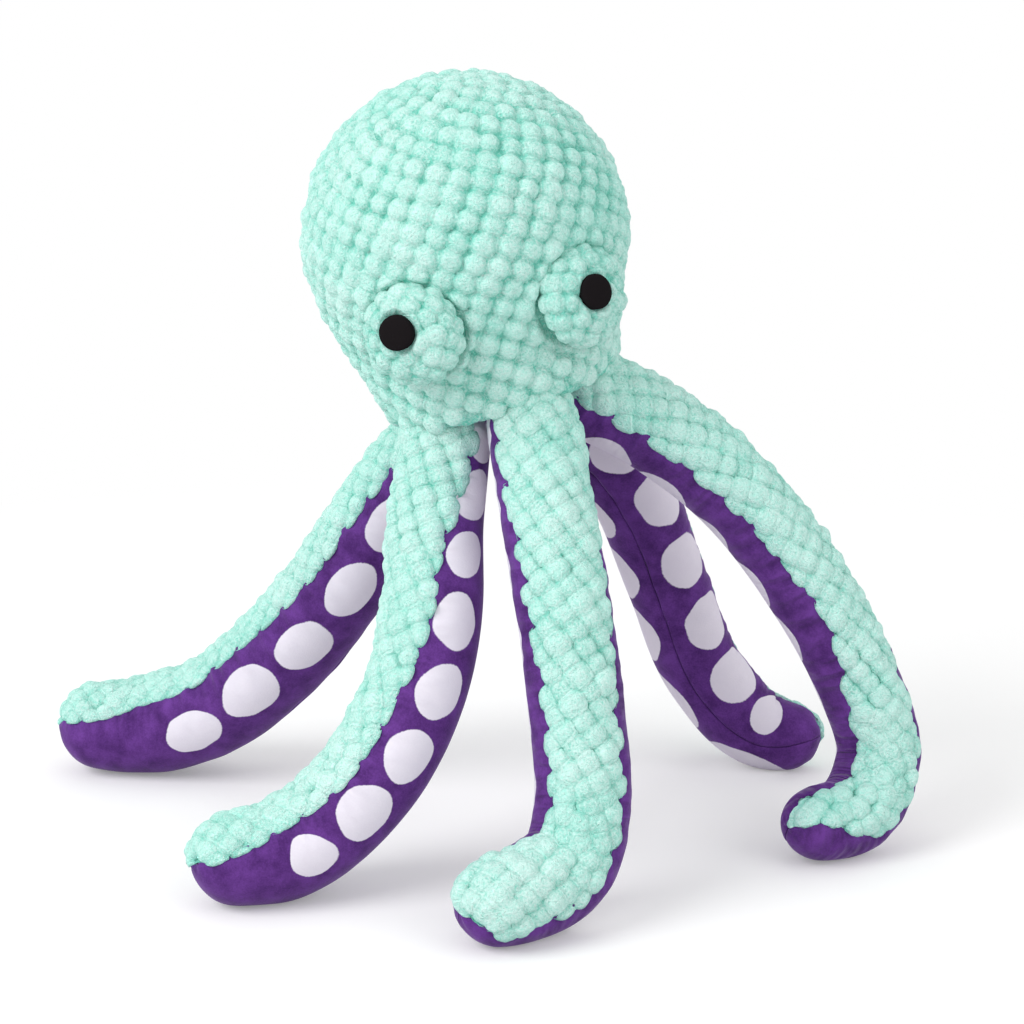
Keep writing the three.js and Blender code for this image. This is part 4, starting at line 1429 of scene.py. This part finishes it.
def tentacle_bobbles(tube, tree):
    """Middles of a tentacle's bobbles: slanting, staggered rows across its top, up to both seams."""
    sizes = values_of("bobbles")
    spacing = sizes.arm_across
    past_seam = PAST_SEAM_SHARE * spacing / tube.radius(tube.total / 2)
    places = [(tube.total, 0)]
    for row in range(-SPARE_ROWS, int(tube.total / sizes.arm_along) + SPARE_ROWS + 1):
        across = (np.arange(-ROW_REACH, ROW_REACH + 1) + 0.5 * (row % 2)) * spacing
        ways = tube.total - row * sizes.arm_along + sizes.arm_slope * across
        turns = across / np.maximum(tube.radius(ways), TINY)
        inside = (ways > 0) & (ways < tube.total - sizes.arm_radius / 2)
        inside &= np.abs(turns) < tube.seam_turn(ways) + past_seam
        places.extend(zip(ways[inside], turns[inside]))
    ways, turns = np.array(places).T
    to_seam = (tube.seam_turn(ways) - np.abs(turns)) * tube.radius(ways)
    kept = []
    for point, distance in zip(tube.points(ways, turns), to_seam):
        middle = on_cloth(tree, point)
        if all(np.linalg.norm(middle - other) > spacing * CROWDED_SHARE for other, _ in kept):
            kept.append((middle, distance > spacing * HELD_SHARE))
    middles, free = (np.array(column) for column in zip(*kept))
    return settled(middles, free, tree)


def settled(middles, free, tree, rounds=16):
    """Pushes crowded bobbles apart along the cloth. Those at the seams stay."""
    spacing = values_of("bobbles").arm_across
    for _ in range(rounds):
        apart = middles[:, None] - middles[None]
        distance = np.linalg.norm(apart, axis=2) + np.eye(len(middles))
        push = np.clip(spacing * SETTLED_SHARE - distance, 0, None) / distance
        moved = middles + PUSH_SHARE * np.einsum("ijk,ij->ik", apart, push)
        middles = np.array([on_cloth(tree, point) if loose else middle
                            for middle, point, loose in zip(middles, moved, free)])
    return middles


def hinge_span(tube):
    """The stretch after the hinge over which a swinging tentacle bends."""
    sizes = values_of("tentacles")
    start = tube.route.hinge + tube.route.tangents[0] * sizes.bend_start
    end = tube.route.hinge + tube.route.tangents[0] * sizes.bend_end
    return {"start": tuple(start), "end": tuple(end)}


def build_top(name, cloth, tube, tree, seed):
    """The bobble cover on top of a tentacle. Its edge bobbles hang a little over the velour."""
    sizes = values_of("tentacles")
    lining = sizes.cover_wall * WALL_UNDER_SHARE
    seam = even_turn(sizes.seam_columns) * tube.full
    top = cut_panel(cloth, f"{name}_top_plush", -seam, seam)
    subdivide(top, 2)
    outer = thicken(top, lining)
    girth, way = pattern_of(top)
    turn = tube.spread(way, girth / tube.full)
    _, _, up_line, side_line = tube.route.at(tube.place(way))
    sideways = -np.sin(turn)[:, None] * up_line + np.cos(turn)[:, None] * side_line
    edge = smoothstep(np.abs(girth), seam - EDGE_WIDTH, seam)
    lean = edge * np.sign(girth) * EDGE_LEAN
    left = 1 - EDGE_LOSS_SHARE * edge
    middles = tentacle_bobbles(tube, tree)
    bobbles = Bobbles(middles, seed, values_of("bobbles").arm_radius, TENTACLE_SHARPNESS)
    add_bobbles(top, bobbles, mask=left, moving=outer, overhang=sideways * lean[:, None])
    raised = outer * sizes.cover_wall * WALL_OVER_SHARE
    move_points(top, points_of(top) + normals_of(top) * raised[:, None])
    press_flat(top, outer, lining)
    shade_smooth(top)
    dress(top, "bobble plush", bobble_plush)
    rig.replaces(top, f"{name}_top_cover", f"{name}_stuffing")
    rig.slot(top, "bobble_fabric")
    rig.padded(top, fill=0.85)
    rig.blend(top, "head", name, **hinge_span(tube))


def seam_waves(way, from_seam, sign, height, reach, size, stretch, layer):
    """Uneven waves of the velour beside a seam."""
    places = np.stack([way, from_seam * stretch, np.full(len(way), layer * sign)], 1)
    return height * fluff(places, size) * (1 - smoothstep(np.abs(from_seam), 0, reach))


def lay_spots(under, name, tube):
    """Turns the strip's girth and way into places in its row of spots.

    Across a spot they go from -1 to 1, and they count the spots back from the one nearest to the tip.
    """
    spacing, from_tip, shift, half_width = TENTACLES[name]["spots"]
    full = tube.full
    centre_line = (values_of("tentacles").top_half_angle + math.pi) / 2 * full - shift
    last_spot = tube.total - from_tip
    rows = corner_pattern(under)
    rows[:, 0] = (np.abs(tube.spread(rows[:, 1], rows[:, 0] / full)) * full - centre_line) / half_width
    rows[:, 1] = (last_spot - rows[:, 1]) / spacing
    write_pattern(under, rows)


def build_under(name, cloth, tube, side, sign):
    """One velour strip of the underside with its row of spots. It reaches a column under the top cover."""
    sizes = values_of("tentacles")
    full = tube.full
    seam = even_turn(sizes.seam_columns - 1) * full
    half = math.pi * full
    low, high = (seam, half) if sign > 0 else (-half, -seam)
    under = cut_panel(cloth, f"{name}_{side}_under_velour", low, high)
    subdivide(under, 1)
    outer = thicken(under, sizes.panel_wall)
    even_girth, way = pattern_of(under)
    girth = np.abs(tube.spread(way, even_girth / full)) * full
    from_seam = girth - tube.seam_turn(way) * full
    from_middle = half - girth
    relief = seam_waves(way, from_seam, sign, **PUCKERS) + seam_waves(way, from_middle, sign, **SWELLS)
    relief -= TUCK_DEPTH * (1 - smoothstep(from_seam, TUCK_START, TUCK_END))
    relief -= GROOVE_DEPTH * (1 - smoothstep(from_middle, 0, GROOVE_WIDTH))
    move_points(under, points_of(under) + normals_of(under) * (relief * outer)[:, None])
    press_flat(under, outer, sizes.panel_wall)
    lay_spots(under, name, tube)
    shade_smooth(under)
    dress(under, "spotted velour", velour, spotted=True)
    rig.replaces(under, f"{name}_{side}_under_panel")
    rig.slot(under, "velour")
    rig.padded(under, fill=0.85)
    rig.blend(under, "head", name, **hinge_span(tube))


def build_tentacle(name, seed):
    """A tentacle's whole cloth is stuffed first, and its three pieces are then cut from it."""
    sizes = values_of("tentacles")
    tube = seated_tube(name)
    cloth = tube_cloth(name, tube)
    _, way = pattern_of(cloth)
    stuff(cloth, sizes.full_radius, values_of("stuffing").arm_cap, pinned=way < sizes.root_radius)
    tree = tree_of(cloth)
    build_top(name, cloth, tube, tree, seed)
    build_under(name, cloth, tube, "right", 1)
    build_under(name, cloth, tube, "left", -1)
    bpy.data.objects.remove(cloth)


# The stage

def build_camera():
    stage = values_of("stage")
    data = bpy.data.cameras.new("camera")
    data.lens = stage.lens
    data.sensor_width = SENSOR_WIDTH
    camera = bpy.data.objects.new("camera", data)
    bpy.context.collection.objects.link(camera)
    tilt = stage.camera_height
    back = Vector((0, -math.cos(tilt), math.sin(tilt)))
    above = Vector((0, math.sin(tilt), math.cos(tilt)))
    camera.location = Vector(RING_MIDDLE) + back * stage.camera_distance - above * stage.camera_drop
    camera.rotation_euler = (math.pi / 2 - tilt, 0, 0)
    bpy.context.scene.camera = camera


def add_light(name, watts):
    place, size = LIGHTS[name]
    data = bpy.data.lights.new(name, "AREA")
    data.shape = "DISK"
    data.size = size
    data.energy = watts
    light = bpy.data.objects.new(name, data)
    bpy.context.collection.objects.link(light)
    light.location = place
    aim = Vector((0, 0, LIT_HEIGHT)) - Vector(place)
    light.rotation_euler = aim.to_track_quat("-Z", "Y").to_euler()


def seen_rays(finish):
    """1 for the rays that show a surface: those of the camera, of reflections and through glass."""
    kinds = ("Is Camera Ray", "Is Glossy Ray", "Is Transmission Ray")
    first, second, third = (finish.node("ShaderNodeLightPath", output=kind) for kind in kinds)
    return (first + second + third).clamped()


def floor_cloth(finish):
    """A matte floor that keeps the shadow near the toy and turns plain white further out."""
    stage = values_of("stage")
    matte = finish.node("ShaderNodeBsdfDiffuse", {}, {"Color": rgba(stage.floor_colour)})
    lift = finish.node("ShaderNodeEmission", {}, {"Strength": stage.floor_lift})
    near = finish.node("ShaderNodeAddShader", {}, {0: matte, 1: lift})
    white = finish.node("ShaderNodeEmission", {}, {"Strength": 1})
    inputs = {0: finish.place()}
    reach = finish.node("ShaderNodeVectorMath", {"operation": "LENGTH"}, inputs, output="Value")
    away = ((reach - stage.shadow_reach) / stage.shadow_reach).clamped()
    shown = finish.node("ShaderNodeMixShader", {}, {0: away, 1: near, 2: white})
    surface = finish.node("ShaderNodeMixShader", {}, {0: seen_rays(finish), 1: matte, 2: shown})
    finish.node("ShaderNodeOutputMaterial", {}, {"Surface": surface})
    return finish.holder


def white_room(finish):
    """Plain white where the camera sees it, and a soft light from all sides for the rest."""
    sky = values_of("stage").sky
    strength = seen_rays(finish) * (1 - sky) + sky
    light = finish.node("ShaderNodeBackground", {}, {"Color": (1, 1, 1, 1), "Strength": strength})
    finish.node("ShaderNodeOutputWorld", {}, {"Surface": light})


def build_stage():
    stage = values_of("stage")
    build_camera()
    floor = disc("floor", stage.floor_radius, corners=96)
    dress(floor, "floor", floor_cloth)
    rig.stage(floor)
    add_light("key", stage.key)
    add_light("fill", stage.fill)
    world = bpy.data.worlds.new("white room")
    bpy.context.scene.world = world
    white_room(Finish(world))
    bpy.context.scene.view_settings.view_transform = "Standard"


# Operators and the panel

class OCTOPUS_OT_stage(Operator):
    """Sets up the floor, the studio light and the camera"""

    bl_idname = "octopus.stage"
    bl_label = "Stage"

    def execute(self, context):
        build_stage()
        return {"FINISHED"}


class OCTOPUS_OT_head(Operator):
    """Sews and stuffs the bobble head"""

    bl_idname = "octopus.head"
    bl_label = "Head"

    def execute(self, context):
        build_head()
        return {"FINISHED"}


class OCTOPUS_OT_neck_panel(Operator):
    """Closes the neck with velour"""

    bl_idname = "octopus.neck_panel"
    bl_label = "Neck panel"

    def execute(self, context):
        build_neck_panel()
        return {"FINISHED"}


class OCTOPUS_OT_eyes(Operator):
    """Sews on both eye pads and their felt eyes"""

    bl_idname = "octopus.eyes"
    bl_label = "Eyes"

    def execute(self, context):
        build_eyes()
        return {"FINISHED"}


class OCTOPUS_OT_tentacles(Operator):
    """Sews and stuffs the five tentacles"""

    bl_idname = "octopus.tentacles"
    bl_label = "Tentacles"

    def execute(self, context):
        for seed, name in enumerate(TENTACLES, TENTACLE_SEED):
            build_tentacle(name, seed)
        return {"FINISHED"}


class OCTOPUS_PT_sidebar(Panel):
    """Lists the pieces of the octopus and their sizes"""

    bl_idname = "OCTOPUS_PT_sidebar"
    bl_label = "Octopus"
    bl_space_type = "VIEW_3D"
    bl_region_type = "UI"
    bl_category = "Octopus"

    def draw(self, context):
        for operator in OPERATORS:
            self.layout.operator(operator.bl_idname)
        for name in SETTINGS:
            box = self.layout.box()
            group = getattr(context.scene, name)
            for field in group.bl_rna.properties:
                if field.identifier not in {"rna_type", "name"}:
                    box.prop(group, field.identifier)


SETTINGS = {
    "octopus_head": HeadSizes,
    "octopus_bobbles": BobbleSizes,
    "octopus_tentacles": TentacleSizes,
    "octopus_eyes": EyeSizes,
    "octopus_stuffing": StuffingSettings,
    "octopus_spots": SpotSizes,
    "octopus_colours": FabricColours,
    "octopus_stage": StageSettings,
}
OPERATORS = (
    OCTOPUS_OT_stage,
    OCTOPUS_OT_head,
    OCTOPUS_OT_neck_panel,
    OCTOPUS_OT_eyes,
    OCTOPUS_OT_tentacles,
)
CLASSES = (*SETTINGS.values(), *OPERATORS, OCTOPUS_PT_sidebar)


def register():
    for made in CLASSES:
        bpy.utils.register_class(made)
    for name, group in SETTINGS.items():
        setattr(bpy.types.Scene, name, PointerProperty(type=group))


def unregister():
    for name in SETTINGS:
        delattr(bpy.types.Scene, name)
    for made in reversed(CLASSES):
        bpy.utils.unregister_class(made)


def write_sizes():
    """Writes the frame's box and the dressed toy's box, lowest and highest corner each."""
    rows = [[list(corner) for corner in box] for box in (CAD_BOX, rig.bounds())]
    with open(SIZE_FILE, "w") as file:
        json.dump({"cad": rows[0], "visual": rows[1]}, file)


def main():
    register()
    bpy.ops.octopus.stage()
    bpy.ops.octopus.head()
    bpy.ops.octopus.neck_panel()
    bpy.ops.octopus.eyes()
    bpy.ops.octopus.tentacles()
    write_sizes()


if __name__ == "__main__":
    main()
